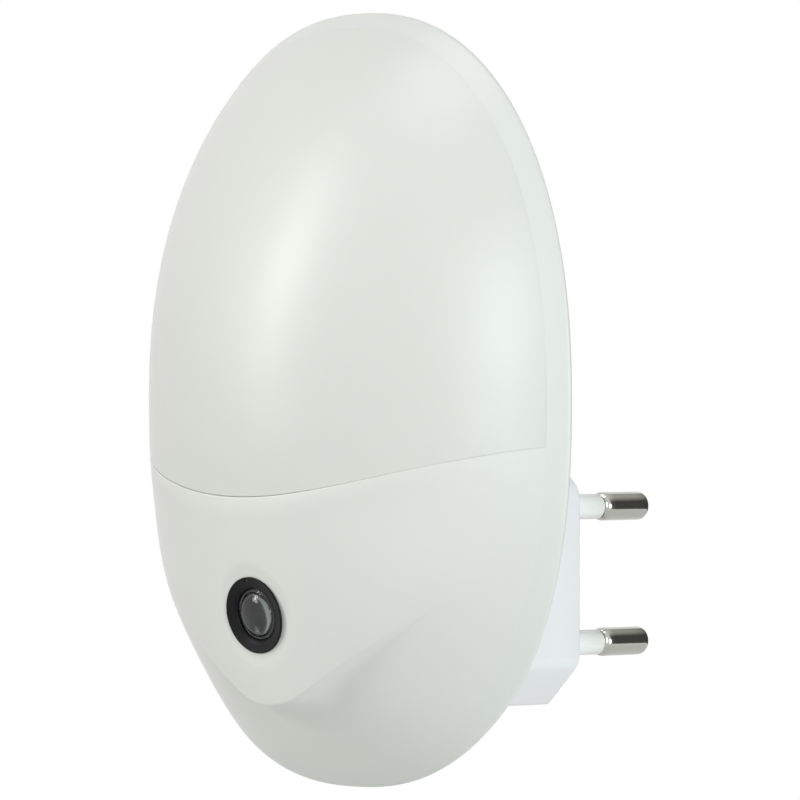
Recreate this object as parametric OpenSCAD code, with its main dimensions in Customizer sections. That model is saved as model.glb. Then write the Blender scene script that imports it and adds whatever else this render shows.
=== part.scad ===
// Plug-in night light with a dusk sensor: an egg-shaped LED lamp that hangs on its own mains plug.
// The plug's face lies in the plane y = 0, the pins point along +Y and the lamp's front faces -Y.

/* [Egg] */
// Width of the egg across its rim
body_w = 79; // [77:0.5:90]
// Height of the egg
body_h = 105.4; // [103:0.1:120]
// Depth of the front dome, from the rim to the nose
dome_d = 24.3; // [23.5:0.1:30]
// Depth of the rear dish, from the rim to its flat back
rear_d = 12; // [11.5:0.5:16]
// Exponent of the egg's outline above its widest line, where 2 is an ellipse
outline_p = 2.25; // [2.1:0.05:2.6]
// Exponent of its outline below that line
outline_low_p = 2.35; // [2.1:0.05:2.6]
// How far the dome stops short of a half ellipsoid, as a share of its full depth
dome_cut = 0.5; // [0.4:0.05:0.6]
// How far the egg's lower end is carried forward
toe = 1.6; // [0:0.1:2]
// Height of the plug's centre above the egg's lower end
plug_up = 28.1; // [27:0.1:28.5]
// Wall of the front cover and the rear housing
wall = 2; // [1.6:0.1:2.2]
// Wall of the diffuser
diffuser_wall = 1.8; // [1.2:0.1:2.2]
// Width of the rear housing's edge band, in front of the rim
skirt = 3; // [2:0.1:3.5]
// Thickness of the tongue that centres the front shells on the rear housing
tongue_t = 1; // [0.8:0.1:1.2]
// Length of that tongue
tongue_l = 1.5; // [1:0.1:2]
// Gap between shells that meet
shell_gap = 0.15; // [0.1:0.05:0.25]
// Gap at the parting line, between the front shells and the rear housing's band
parting_gap = 0.1; // [0.05:0.05:0.2]

/* [Seam and bib] */
// Height of the seam between the diffuser and the front cover above the egg's lower end, on the centreline
seam_up = 39.8; // [38.5:0.1:40.5]
// Rise of the seam from the centreline to the rim
seam_rise = 7.2; // [5:0.1:9]
// How far the front cover stands proud of the diffuser
lip_proud = 0.6; // [0.3:0.05:0.8]
// Slope of the bib, away from upright
bib_tilt = 11.5; // [9:0.5:13]
// Radius of the bib's rounded point, round the sensor
bib_r = 12.1; // [11:0.1:13.5]
// Slope of the bib's straight lower edges
bib_flank = 31; // [26:1:36]
// Half the width over which the bib fades into the egg
bib_half_w = 28; // [26:0.5:32]
// Width of the step under the bib's edge
bib_step = 5.5; // [4:0.1:6.5]
// How much fuller the egg is under the bib than a plain dome
chin_full = 0.8; // [0.4:0.1:1]

/* [Sensor] */
// Height of the sensor's centre above the egg's lower end
sensor_up = 23.9; // [22.5:0.1:24.5]
// Outer diameter of the black bezel
bezel_d = 10.5; // [10:0.1:11]
// Diameter of the clear window
lens_d = 7; // [6.6:0.1:7.2]
// Height of the window's dome
lens_dome = 1; // [0.8:0.1:1.6]
// Depth of the dome's edge below the bib's surface
lens_sink = 0.55; // [0.3:0.05:0.8]
// Outer diameter of the bezel's tube
bezel_tube_d = 8.8; // [8.6:0.1:8.9]
// Depth of the sensor's tube behind the bib
bezel_depth = 6; // [5:0.1:7]
// Diameter of the photocell
cell_d = 5; // [4.6:0.1:5.2]
// Depth of the flat-bottomed dish round the bezel
dish_depth = 0.2; // [0.1:0.05:0.8]
// Width of the dish's soft edge
dish_edge = 1.6; // [1.5:0.1:2.5]

/* [Plug] */
// Distance between the pins
pin_pitch = 19; // [18.6:0.1:19.4]
// Diameter of the pins
pin_d = 4; // [3.9:0.05:4.2]
// Length of the pins from the plug's face
pin_l = 19; // [18:0.5:20]
// Length of the insulating sleeves on the pins
sleeve_l = 10; // [9:0.5:11]
// Diameter of the sleeves
sleeve_d = 3.5; // [3.4:0.05:3.6]
// Diameter of the pin's core inside the sleeve
core_d = 2.5; // [2.4:0.1:2.7]
// Radius of the rounded pin tip
pin_tip_r = 1; // [0.6:0.1:1.4]
// Length of the cone from the sleeve to the pin's full diameter
pin_cone_l = 0.7; // [0.3:0.1:0.8]
// Width of the plug block
plug_w = 13.6; // [13.2:0.1:15]
// Height of the plug block's straight sides
plug_side_h = 24.2; // [23:0.1:25]
// Height of the plug block over its points
plug_h = 35.8; // [35:0.1:37]
// Distance from the egg's flat back to the plug's face
plug_reach = 23.2; // [20:0.1:26]
// Width of the plug block's narrow ends
plug_tip_w = 1.6; // [1.2:0.1:2.4]
// Radius of the corners beside its straight sides
plug_side_r = 3; // [2:0.1:4]
// Radius of the corners at its narrow ends
plug_corner_r = 1.2; // [0.8:0.1:1.4]
// Wall of the plug block
plug_wall = 2; // [1.8:0.1:2.2]
// Thickness of the plug's face
plug_face_t = 3; // [2.6:0.1:3.4]
// Thickness of the plug block's flange inside the egg
flange_t = 2; // [1.6:0.1:2.2]
// Width of the flange's overlap round the plug block
flange_lap = 3; // [2.4:0.1:3.4]

/* [Boards] */
// Thickness of the circuit boards
board_t = 1.6; // [1.2:0.1:1.7]
// Width of the driver board
driver_w = 40; // [38:0.5:41]
// Height of the driver board
driver_h = 23.5; // [23:0.5:24]
// Width of the LED board
led_board_w = 34; // [33:0.5:36]
// Height of the LED board
led_board_h = 26; // [25:0.5:28]
// Distance of the LED board's centre below the egg's upper end
led_board_down = 35.5; // [33.5:0.5:36.5]
// Distance between LEDs across the board
led_pitch_x = 20; // [19:0.5:21]
// Distance between LEDs up the board
led_pitch_z = 15; // [14:0.5:16]
// Diameter of the LEDs
led_d = 5; // [4.8:0.1:5.2]
// Thickness of the reflector
reflector_t = 1.2; // [1:0.1:1.5]
// Diameter of the wires to the LED board
wire_d = 1.3; // [1:0.1:1.4]
// Width of the dropper capacitor
dropper_w = 7; // [6:0.5:7.5]
// Length of the dropper capacitor
dropper_l = 12; // [11:0.5:12.5]
// Height of the dropper capacitor off the board
dropper_h = 10; // [9:0.5:11]
// Diameter of the smoothing capacitor
smoother_d = 8; // [7:0.5:8.5]
// Length of the smoothing capacitor
smoother_l = 11; // [10:0.5:11.5]

/* [Fasteners] */
// Shank diameter of the case screws
case_screw_d = 2.6; // [2.4:0.1:2.8]
// Shank diameter of the board screws
board_screw_d = 2.2; // [2:0.1:2.4]
// Running gap round a screw or a pin
fit_gap = 0.05; // [0.05:0.01:0.1]

/* [Hidden] */
$fn = 48;

// The egg's semi-axes, and the plane of its rim in the plug's frame
half_w = body_w / 2;
half_h = body_h / 2;
rim_y = -plug_reach - rear_d;
// Height of the egg's centre above the plug's, and of its features above the egg's centre
body_z = half_h - plug_up;
seam_mid = seam_up - half_h;
sensor_z = sensor_up - half_h;
led_board_z = half_h - led_board_down;
// The band's front edge, just in front of the rim, and the front shells' rear edge
parting_y = -skirt;
shell_end = parting_y - parting_gap;

// ---- Surfaces of the egg, in its own frame: rim plane y = 0, centre z = 0 ----

function power_at(z) = z < 0 ? outline_low_p : outline_p;
// Point on an oval outline at an angle from +X, turning through +Z
function oval(angle, a, c) =
    let (p = power_at(sin(angle)))
    [a * sign(cos(angle)) * pow(abs(cos(angle)), 2 / p),
     c * sign(sin(angle)) * pow(abs(sin(angle)), 2 / p)];
// Share of the way from the centre to the outline, 1 on the outline
function oval_share(x, z, a, c) =
    let (p = power_at(z)) pow(pow(abs(x) / a, p) + pow(abs(z) / c, p), 1 / p);
// Depth of a front dome that is b deep, at a share of the way to its outline
function dome_at(share, b) =
    let (full = b / (1 - dome_cut), flat = (1 - dome_cut * dome_cut) * min(1, share) * min(1, share))
    dome_cut * full - full * sqrt(1 - flat);
// Share at which that dome crosses the plane y
function dome_share(y, b) =
    let (full = b / (1 - dome_cut), s = (dome_cut * full - y) / full)
    sqrt((1 - s * s) / (1 - dome_cut * dome_cut));
// How far the egg is carried forward at a height, towards its lower end
toe_start = 0.63;
function lean(z) = toe * soft((-z / half_h - toe_start) / (1 - toe_start));
// Front surface, inset by t
function front_y(x, z, t) = dome_at(oval_share(x, z, half_w - t, half_h - t), dome_d - t) - lean(z);
// Smooth step from 0 to 1
function soft(t) = let (u = min(1, max(0, t))) u * u * (3 - 2 * u);
// Step from 0 to 1 that starts steeply, with a small round, and ends in a long hollow
hollow_power = 4;
hollow_round = 0.12;
function hollow(t) =
    let (u = min(1, max(0, t))) (1 - pow(1 - u, hollow_power)) * sqrt(soft(u / hollow_round));

// Seam between the diffuser and the front cover
seam_round = 0.54;
function seam(x) =
    let (u = x / half_w) seam_mid + seam_rise * ((1 + seam_round) * u * u - seam_round * pow(u, 4));
// Angle at which an oval of these semi-axes meets the seam, on the +X side
function seam_angle(a, c, low = -40, high = 20, n = 24) =
    n == 0 ? (low + high) / 2 :
    let (mid = (low + high) / 2, p = oval(mid, a, c))
    p[1] > seam(p[0]) ? seam_angle(a, c, low, mid, n - 1) : seam_angle(a, c, mid, high, n - 1);

// Radius of the bib's edge round the sensor, at an angle from straight down
function bib_edge(angle) =
    let (past = abs(angle) - bib_flank)
    past < 0 ? bib_r : past < 80 ? bib_r / cos(past) : 10 * bib_r;
// How far the bib stands out from the plain dome on the centreline
function bib_rise(z) =
    front_y(0, z, 0) - front_y(0, seam_mid, 0) + lip_proud - tan(bib_tilt) * (seam_mid - z);
dish_r = bezel_d / 2 + 0.35;
// Shares of the way to the rim from which the chin and the lip fade, and where the lip ends
chin_fade = 0.75;
lip_fade = 0.6;
lip_end = 0.87;
// Heights over which the chin fills out below the seam and the lip dies away
chin_spread = 14;
lip_spread = 2.5;
// The lip's crest falls back towards the seam: share of its height, and how far below the seam it starts
crest_fall = 0.55;
crest_span = 2.8;
// How far the front cover stands out from the plain dome
function cover_proud(x, z) =
    let (
        share = oval_share(x, z, half_w, half_h),
        chin_end = dome_share(shell_end, dome_d),
        below = seam(x) - z,
        from_sensor = norm([x, z - sensor_z]),
        angle = atan2(x, sensor_z - z),
        full = chin_full * soft((seam_mid - z) / chin_spread)
            * (1 - soft((share - chin_fade) / (chin_end - chin_fade))),
        side = pow(max(0, 1 - pow(x / bib_half_w, 2)), 1.3),
        inside = 1 - hollow((from_sensor - bib_edge(angle)) / bib_step),
        lip_left = 1 - soft((share - lip_fade) / (lip_end - lip_fade)),
        lip = lip_proud * (1 - side) * exp(-pow(below / lip_spread, 2)) * lip_left,
        crest = lip_proud * (side + (1 - side) * lip_left),
        fall = crest_fall * crest * pow(max(0, 1 - below / crest_span), 2),
        dish = dish_depth * (1 - soft((from_sensor - dish_r) / dish_edge))
    )
    full * (1 - side * inside) + max(0, bib_rise(z)) * side * inside + lip - fall - dish;
function cover_y(x, z, t) = front_y(x, z, t) - cover_proud(x, z);

// Rear dish: semi-axes and depth at a step from the rim, 0, to the flat back, 1
flat_w = 20;
flat_h = 46;
rear_slope = 44;
function rear_inset(step) = 1 - sin(rear_slope * (1 - step)) / sin(rear_slope);
function rear_rise(step) =
    (cos(rear_slope * (1 - step)) - cos(rear_slope)) / (1 - cos(rear_slope));
function rear_axes(step, t) =
    [half_w - t - (half_w - t - flat_w / 2) * rear_inset(step),
     half_h - t - (half_h - t - flat_h / 2) * rear_inset(step)];
// Depth of the dish, inset by t, over a point of the XZ plane
function rear_y(x, z, t, low = 0, high = 1, n = 16) =
    n == 0 ? (rear_d - t) * rear_rise((low + high) / 2) - lean(z) :
    let (mid = (low + high) / 2, ax = rear_axes(mid, t))
    oval_share(x, z, ax[0], ax[1]) > 1 ? rear_y(x, z, t, low, mid, n - 1)
                                       : rear_y(x, z, t, mid, high, n - 1);

// ---- Building blocks ----

module egg() translate([0, rim_y, body_z]) children();

// Rod along Y, from y0 to y1
module rod(r, y0, y1, x = 0, z = 0)
    translate([x, y0, z]) rotate([-90, 0, 0]) cylinder(r = r, h = y1 - y0);

// Closed skin over a stack of loops that run the same way round; a ring joins its last loop to its first
module skin(loops, ring = false, flip = false) {
    n = len(loops[0]);
    m = len(loops);
    first = sum_of(loops[0]) / n;
    last = sum_of(loops[m - 1]) / n;
    points = concat([for (loop = loops) each loop], ring ? [] : [first, last]);
    sides = [for (j = [0 : m - (ring ? 1 : 2)], i = [0 : n - 1])
        let (a = j * n + i, b = j * n + (i + 1) % n, up = ((j + 1) % m) * n)
        each [[a, b, up + (i + 1) % n], [a, up + (i + 1) % n, up + i]]];
    ends = ring ? [] : [for (i = [0 : n - 1]) let (k = (i + 1) % n, top = (m - 1) * n)
        each [[m * n, k, i], [m * n + 1, top + i, top + k]]];
    faces = concat(sides, ends);
    polyhedron(points, flip ? [for (f = faces) [f[2], f[1], f[0]]] : faces, convexity = 6);
}
function sum_of(list, i = 0) = i == len(list) - 1 ? list[i] : list[i] + sum_of(list, i + 1);

// Round post from its end plane to the middle of a wall, where the wall's depth is given per point
post_sides = 24;
function ring_at(x, z, r) =
    [for (i = [0 : post_sides - 1]) [x + r * cos(360 * i / post_sides), z + r * sin(360 * i / post_sides)]];

// Corner b of a polygon, rounded to radius r; a whole polygon takes one radius or a list of them
function unit(v) = v / norm(v);
function turn(from, to) = let (d = to - from) d > 180 ? d - 360 : d < -180 ? d + 360 : d;
function corner(a, b, c, r, n = 5) =
    let (
        u = unit(a - b), v = unit(c - b), half = acos(u * v) / 2,
        centre = b + unit(u + v) * r / sin(half),
        s = b + u * r / tan(half) - centre, e = b + v * r / tan(half) - centre,
        from = atan2(s[1], s[0]), sweep = turn(from, atan2(e[1], e[0]))
    )
    [for (i = [0 : n]) centre + r * [cos(from + sweep * i / n), sin(from + sweep * i / n)]];
function rounded(p, r) =
    let (n = len(p))
    [for (i = [0 : n - 1])
        each corner(p[(i + n - 1) % n], p[i], p[(i + 1) % n], is_list(r) ? r[i] : r)];

// Plug block's outline in X and Z, inset by t: straight sides and chamfers to narrow ends
chamfer = atan2((plug_h - plug_side_h) / 2, (plug_w - plug_tip_w) / 2);
function plug_outline(t) =
    let (
        w = plug_w / 2 - t,
        tip = plug_tip_w / 2,
        top = plug_h / 2 - t / cos(chamfer),
        side = top - (w - tip) * tan(chamfer),
        wide = max(least_r, plug_side_r - t),
        small = max(least_r, plug_corner_r - t)
    )
    rounded([[w, -side], [w, side], [tip, top], [-tip, top], [-w, side], [-w, -side], [-tip, -top],
        [tip, -top]], [wide, wide, small, small, wide, wide, small, small]);
least_r = 0.4;
// Prism along Y over an outline in X and Z
module prism(outline, y0, y1)
    translate([0, y1, 0]) rotate([90, 0, 0]) linear_extrude(y1 - y0) polygon(outline);

// Axis of the sensor: its children's +Z points out of the bib, from the bib's surface
module at_sensor()
    egg() translate([0, bib_surface_y, sensor_z]) rotate([90 + bib_tilt, 0, 0]) children();
bib_surface_y = front_y(0, seam_mid, 0) - lip_proud + tan(bib_tilt) * (seam_mid - sensor_z);

// Wire of 8 sides that follows points in a plane of constant X
module wire(path, d) {
    n = len(path);
    loops = [for (i = [0 : n - 1])
        let (t = unit(path[min(n - 1, i + 1)] - path[max(0, i - 1)]), side = cross(t, [1, 0, 0]))
        [for (k = [0 : 7]) path[i] + d / 2 * (cos(45 * k) * [1, 0, 0] + sin(45 * k) * side)]];
    skin(loops);
}

// ---- Shells ----

arc_n = 56;
seam_n = 24;
// Closed edge of the diffuser: over the top from right to left, then back along the seam
function diffuser_edge(a, c) =
    let (low = seam_angle(a, c), x = oval(low, a, c)[0])
    concat([for (i = [0 : arc_n - 1]) oval(low + (180 - 2 * low) * i / arc_n, a, c)],
        [for (i = [0 : seam_n - 1]) let (u = -x + 2 * x * i / seam_n) [u, seam(u) + shell_gap]]);
diffuser_centre = [0, 14];
function shrink(edge, centre, share) = [for (p = edge) centre + (p - centre) * share];

module diffuser() {
    outer = dome_share(shell_end, dome_d);
    inner = dome_share(shell_end, dome_d - diffuser_wall);
    edge = diffuser_edge(half_w * outer, half_h * outer);
    inside = diffuser_edge((half_w - diffuser_wall) * inner, (half_h - diffuser_wall) * inner);
    front = [for (s = [0.05, 0.2, 0.36, 0.52, 0.66, 0.78, 0.88, 0.95, 1])
        [for (p = shrink(edge, diffuser_centre, s)) [p[0], front_y(p[0], p[1], 0), p[1]]]];
    back = [for (s = [1, 0.92, 0.8, 0.64, 0.44, 0.2])
        [for (p = shrink(inside, diffuser_centre, s)) [p[0], front_y(p[0], p[1], diffuser_wall), p[1]]]];
    color("#DADCD5") egg() difference() {
        union() {
            skin(concat(front, back));
            front_post(0, top_post_z, diffuser_wall);
        }
        rod(case_screw_d / 2 + fit_gap, -screw_reach - 1, 5, 0, top_post_z);
    }
}

// Screw posts: one in the diffuser near its top, two in the front cover
top_post_down = 11.5;
cover_post_x = 25.5;
cover_post_up = 30.5;
top_post_z = half_h - top_post_down;
cover_post_z = cover_post_up - half_h;
post_r = 3;
post_end = 1.9;
screw_reach = 6;
module front_post(x, z, t) {
    foot = [for (p = ring_at(x, z, post_r)) [p[0], front_y(p[0], p[1], t / 2), p[1]]];
    skin([foot, [for (p = ring_at(x, z, post_r)) [p[0], post_end, p[1]]]]);
}

// Closed edge of the front cover: under the bottom from left to right, then back along the seam
function cover_edge(a, c) =
    let (low = seam_angle(a, c), x = oval(low, a, c)[0])
    concat([for (i = [0 : arc_n - 1]) oval(180 - low + (180 + 2 * low) * i / arc_n, a, c)],
        [for (i = [0 : seam_n - 1]) let (u = x - 2 * x * i / seam_n) [u, seam(u)]]);
sensor_hole_r = bezel_tube_d / 2 + 0.35;
// Rings round the sensor: out to the dish's edge, the bib's edge, over its step and on to the rim
function cover_ring(edge, k) =
    [for (p = edge)
        let (
            d = p - [0, sensor_z], far = norm(d), way = d / far,
            dish_out = dish_r + dish_edge,
            bib = min(bib_edge(atan2(d[0], -d[1])), 0.86 * far),
            foot = min(bib + bib_step, bib + 0.6 * (far - bib)),
            r = k <= 1 ? sensor_hole_r + (dish_r - sensor_hole_r) * k :
                k <= 2 ? dish_r + (dish_out - dish_r) * (k - 1) :
                k <= 3 ? dish_out + (bib - dish_out) * (k - 2) :
                k <= 4 ? bib + (foot - bib) * (k - 3) : foot + (far - foot) * (k - 4)
        )
        [0, sensor_z] + way * r];

module front_cover() {
    outer = dome_share(shell_end, dome_d);
    inner = dome_share(shell_end, dome_d - wall);
    edge = cover_edge(half_w * outer, half_h * outer);
    inside = cover_edge((half_w - wall) * inner, (half_h - wall) * inner);
    front = [for (k = [0, 1, 1.5, 2, 2.5, 3, 3.06, 3.14, 3.3, 3.6, 4, 4.25, 4.5, 4.7, 4.85, 5])
        [for (p = cover_ring(edge, k)) [p[0], cover_y(p[0], p[1], 0), p[1]]]];
    back = [for (k = [5, 4.8, 4.4, 4, 3.6, 3.3, 3.14, 3, 2, 1, 0])
        [for (p = cover_ring(inside, k)) [p[0], cover_y(p[0], p[1], wall), p[1]]]];
    color("#DDE0D9") egg() difference() {
        union() {
            skin(concat(front, back), ring = true);
            for (side = [-1, 1])
                front_post(side * cover_post_x, cover_post_z, wall);
        }
        for (side = [-1, 1])
            rod(case_screw_d / 2 + fit_gap, -screw_reach - 1, 5, side * cover_post_x, cover_post_z);
    }
}

rear_n = 72;
rear_steps = [0, 0.12, 0.26, 0.42, 0.6, 0.8, 1];
function oval_loop(ax, y) =
    [for (i = [0 : rear_n - 1]) let (p = oval(360 * i / rear_n, ax[0], ax[1])) [p[0], y - lean(p[1]), p[1]]];
// Tongue that stands inside the front shells
function tongue_axes(t) =
    let (s = dome_share(parting_y - tongue_l, dome_d - wall))
    [(half_w - wall) * s - shell_gap - t, (half_h - wall) * s - shell_gap - t];

// Boss from its end plane to the middle of the dish's wall, over an outline in X and Z
module rear_boss(outline, y)
    hull() skin([[for (p = outline) [p[0], y, p[1]]],
        [for (p = outline) [p[0], rear_y(p[0], p[1], wall / 2), p[1]]]]);

boss_gap = 0.1;
seat_t = 2;
boss_face = post_end + boss_gap;
head_seat = boss_face + seat_t;
case_posts = [[0, top_post_z], [-cover_post_x, cover_post_z], [cover_post_x, cover_post_z]];
case_head_r = case_screw_d;
case_head_t = 1.8;
case_boss_wall = 1.8;
// Driver board and LED board: the planes of their backs
driver_back = 3.2;
led_board_back = reflector_t + board_t;
shelf_z = seam_mid - 0.5;
shelf_clear = 0.9;
driver_top = shelf_z - shelf_clear;
board_boss_r = 2.6;
// Board screws: distance in from the boards' sides, and down from the driver board's top edge
driver_screw_in = 3.2;
driver_screw_down = 6.5;
led_screw_in = 2.6;
driver_screws = [for (s = [-1, 1]) [s * (driver_w / 2 - driver_screw_in), driver_top - driver_screw_down]];
led_screws = [for (s = [-1, 1]) [s * (led_board_w / 2 - led_screw_in), led_board_z]];
flange_back = driver_back + 3.3;
// Flange along the plug block's straight sides, in the plug's frame
flange_x = plug_w / 2 + flange_lap;
flange_z = plug_side_h / 2 - plug_corner_r;
flange_outline = rounded([[flange_x, -flange_z], [flange_x, flange_z], [-flange_x, flange_z],
    [-flange_x, -flange_z]], plug_corner_r);
ear_r = 3.2;
ear_x = plug_w / 2 + ear_r;
// Points between neighbours, so that a long edge follows the curve of the dish
function refined(p) =
    let (n = len(p))
    [for (i = [0 : n - 1])
        let (q = p[(i + 1) % n], parts = max(1, ceil(norm(q - p[i]) / 3)))
        each [for (k = [0 : parts - 1]) p[i] + (q - p[i]) * k / parts]];

module rear_housing() {
    outside = [for (i = [len(rear_steps) - 1 : -1 : 0])
        oval_loop(rear_axes(rear_steps[i], 0), rear_d * rear_rise(rear_steps[i]))];
    band = [for (y = [parting_y / 2, parting_y])
        oval_loop([half_w, half_h] * dome_share(y, dome_d), y)];
    rim = [oval_loop(tongue_axes(0), parting_y),
        oval_loop(tongue_axes(0), parting_y - tongue_l),
        oval_loop(tongue_axes(tongue_t), parting_y - tongue_l),
        oval_loop(tongue_axes(tongue_t), -0.1)];
    inside = [for (step = rear_steps)
        if (rear_axes(step, wall)[0] < tongue_axes(tongue_t)[0])
            oval_loop(rear_axes(step, wall), (rear_d - wall) * rear_rise(step))];
    color("#E4E7E6") egg() difference() {
        union() {
            skin(concat(outside, band, rim, inside), flip = true);
            for (p = case_posts)
                rear_boss(ring_at(p[0], p[1], case_head_r + case_boss_wall), boss_face);
            for (p = driver_screws)
                rear_boss(ring_at(p[0], p[1], board_boss_r), driver_back);
            for (p = led_screws)
                rear_boss(ring_at(p[0], p[1], board_boss_r), led_board_back);
            rear_boss([for (p = refined(flange_outline)) p - [0, body_z]], flange_back);
            for (side = [-1, 1])
                rear_boss(ring_at(side * ear_x, -body_z, ear_r), flange_back);
        }
        translate([0, 0, -body_z]) prism(plug_outline(-shell_gap), 0, rear_d + 2);
        for (p = case_posts) {
            rod(case_screw_d / 2 + 0.2, 0, rear_d + 2, p[0], p[1]);
            rod(case_head_r + 0.2, head_seat, rear_d + 2, p[0], p[1]);
        }
        for (p = concat(driver_screws, led_screws))
            rod(board_screw_d / 2 + fit_gap, 0, board_pilot_end, p[0], p[1]);
        for (side = [-1, 1])
            rod(board_screw_d / 2 + fit_gap, 0, plug_pilot_end, side * ear_x, -body_z);
    }
}
board_screw_l = 5;
plug_screw_l = 3.6;
board_pilot_end = driver_back + board_screw_l - board_t + 0.3;
plug_pilot_end = flange_back + plug_screw_l - flange_t + 0.2;

// ---- Plug ----

flange_front = rim_y + flange_back - flange_t;
module plug_body() {
    color("#E5E9EA") difference() {
        union() {
            prism(plug_outline(0), flange_front, 0);
            prism(flange_outline, flange_front, flange_front + flange_t);
            for (side = [-1, 1])
                rod(ear_r, flange_front, flange_front + flange_t, side * ear_x, 0);
            translate([0, flange_front + flange_t, 0]) rotate([90, 0, 0])
                linear_extrude(flange_t) square([2 * ear_x, 2 * ear_r], center = true);
        }
        prism(plug_outline(plug_wall), flange_front - 1, -plug_face_t);
        for (z = [-pin_pitch / 2, pin_pitch / 2])
            rod(sleeve_d / 2 + fit_gap, -plug_face_t - 1, 1, 0, z);
        for (side = [-1, 1]) {
            rod(board_screw_d / 2 + 0.1, flange_front - 1, flange_front + flange_t + 1, side * ear_x, 0);
            rod(board_screw_d + 0.1, flange_front - 1, flange_front + plug_head_t, side * ear_x, 0);
        }
    }
}
plug_head_t = 1;

pin_head_t = 1.6;
tail_l = 4.4;
pin_tail_d = 2.4;
retainer_t = 2;
// A pin along +Y from the plug's face, with its shoulder at the end of the sleeve
module pin(z) {
    core = core_d / 2;
    metal = pin_d / 2;
    head = metal + 0.6;
    tail = pin_tail_d / 2;
    back = -plug_face_t - pin_head_t;
    tip = [for (i = [1 : 6])
        [metal - pin_tip_r + pin_tip_r * cos(15 * i), pin_l - pin_tip_r + pin_tip_r * sin(15 * i)]];
    color("#B9B6AE") translate([0, 0, z]) rotate([-90, 0, 0]) rotate_extrude()
        polygon(concat([[0, back - tail_l], [tail, back - tail_l], [tail, back], [head, back],
            [head, -plug_face_t], [core, -plug_face_t], [core, sleeve_l], [sleeve_d / 2, sleeve_l],
            [metal, sleeve_l + pin_cone_l], [metal, pin_l - pin_tip_r]], tip, [[0, pin_l]]));
}
module upper_pin() pin(pin_pitch / 2);
module lower_pin() pin(-pin_pitch / 2);

module pin_sleeve(z)
    color("#F1F1EE") difference() {
        rod(sleeve_d / 2, -plug_face_t, sleeve_l, 0, z);
        rod(core_d / 2 + fit_gap, -plug_face_t - 1, sleeve_l + 1, 0, z);
    }
module upper_pin_sleeve() pin_sleeve(pin_pitch / 2);
module lower_pin_sleeve() pin_sleeve(-pin_pitch / 2);

retainer_back = -plug_face_t - pin_head_t - retainer_t;
module pin_retainer()
    color("#3A3A3C") difference() {
        prism(plug_outline(plug_wall + shell_gap), retainer_back, retainer_back + retainer_t);
        for (z = [-pin_pitch / 2, pin_pitch / 2])
            rod(pin_tail_d / 2 + fit_gap, retainer_back - 1, retainer_back + retainer_t + 1, 0, z);
    }

// Strip from a pin's tail to a slot in the driver board
eye_r = 2.5;
strip_t = 0.5;
strip_w = 2;
strip_x = 2.4;
strip_offset = 2;
strip_front = rim_y + driver_back - board_t - 1;
module contact(z, inward) {
    eye = retainer_back - strip_t;
    leg_z = z + inward * strip_offset;
    color("#C9A85A") difference() {
        union() {
            rod(eye_r, eye, retainer_back, 0, z);
            translate([0, eye, min(z, leg_z) - strip_w / 2])
                cube([strip_x, strip_t, strip_offset + strip_w]);
            translate([strip_x, strip_front, leg_z - strip_w / 2])
                cube([strip_t, retainer_back - strip_front, strip_w]);
        }
        rod(pin_tail_d / 2 + fit_gap, eye - 1, retainer_back + 1, 0, z);
    }
}
module upper_contact() contact(pin_pitch / 2, -1);
module lower_contact() contact(-pin_pitch / 2, 1);

// ---- Sensor ----

// The bezel's face falls inwards to a flared bore; a small pit in it marks which way up it goes
bezel_rise = 0.12;
bezel_fall = 0.26;
bezel_flare = 0.45;
pit_w = 0.5;
pit_x = -0.6;
pit_rim = 0.15;
pit_deep = 0.25;
module sensor_bezel() {
    r = bezel_d / 2;
    bore = lens_d / 2 + fit_gap;
    tube = bezel_tube_d / 2;
    color("#1C1C1D") at_sensor() difference() {
        rotate_extrude()
            polygon([[bore, -bezel_depth], [tube, -bezel_depth], [tube, -dish_depth], [r, -dish_depth],
                [r, bezel_rise - 0.1], [r - 0.1, bezel_rise], [bore + bezel_flare, bezel_rise - bezel_fall],
                [bore, -lens_sink + 0.1]]);
        translate([pit_x - pit_w / 2, r - pit_rim - pit_w, bezel_rise - pit_deep])
            cube([pit_w, pit_w, 1]);
    }
}

lens_edge_t = 1.2;
module sensor_lens() {
    r = lens_d / 2;
    dome_r = (r * r + lens_dome * lens_dome) / (2 * lens_dome);
    arc = asin(r / dome_r);
    cap = [for (i = [0 : 8])
        [dome_r * sin(arc * (1 - i / 8)), lens_dome - dome_r + dome_r * cos(arc * (1 - i / 8))]];
    color("#DDE3E4", 0.4) at_sensor() translate([0, 0, -lens_sink]) rotate_extrude()
        polygon(concat([[0, -lens_edge_t], [r, -lens_edge_t]], cap));
}

cup_wall = 0.8;
cup_floor = 1;
cup_back = -bezel_depth - 1;
module sensor_cup() {
    r = lens_d / 2;
    front = -lens_sink - lens_edge_t;
    color("#232325") at_sensor() difference() {
        translate([0, 0, cup_back]) cylinder(r = r, h = front - cup_back);
        translate([0, 0, cup_back + cup_floor]) cylinder(r1 = cell_d / 2 + fit_gap, r2 = r - 0.3,
            h = front - cup_back - cup_floor + 0.01);
        for (side = [-1, 1])
            translate([side * lead_x, 0, cup_back - 1]) cylinder(d = lead_d + 0.1, h = cup_floor + 2);
    }
}

cell_t = 2;
module light_sensor() {
    r = cell_d / 2 - 0.1;
    color("#B8A27C") at_sensor() translate([0, 0, cup_back + cup_floor]) rotate_extrude()
        polygon([[0, 0], [r, 0], [r, cell_t], [r - 0.4, cell_t + 0.3], [0, cell_t + 0.3]]);
}

lead_d = 1;
lead_x = 1.3;
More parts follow.
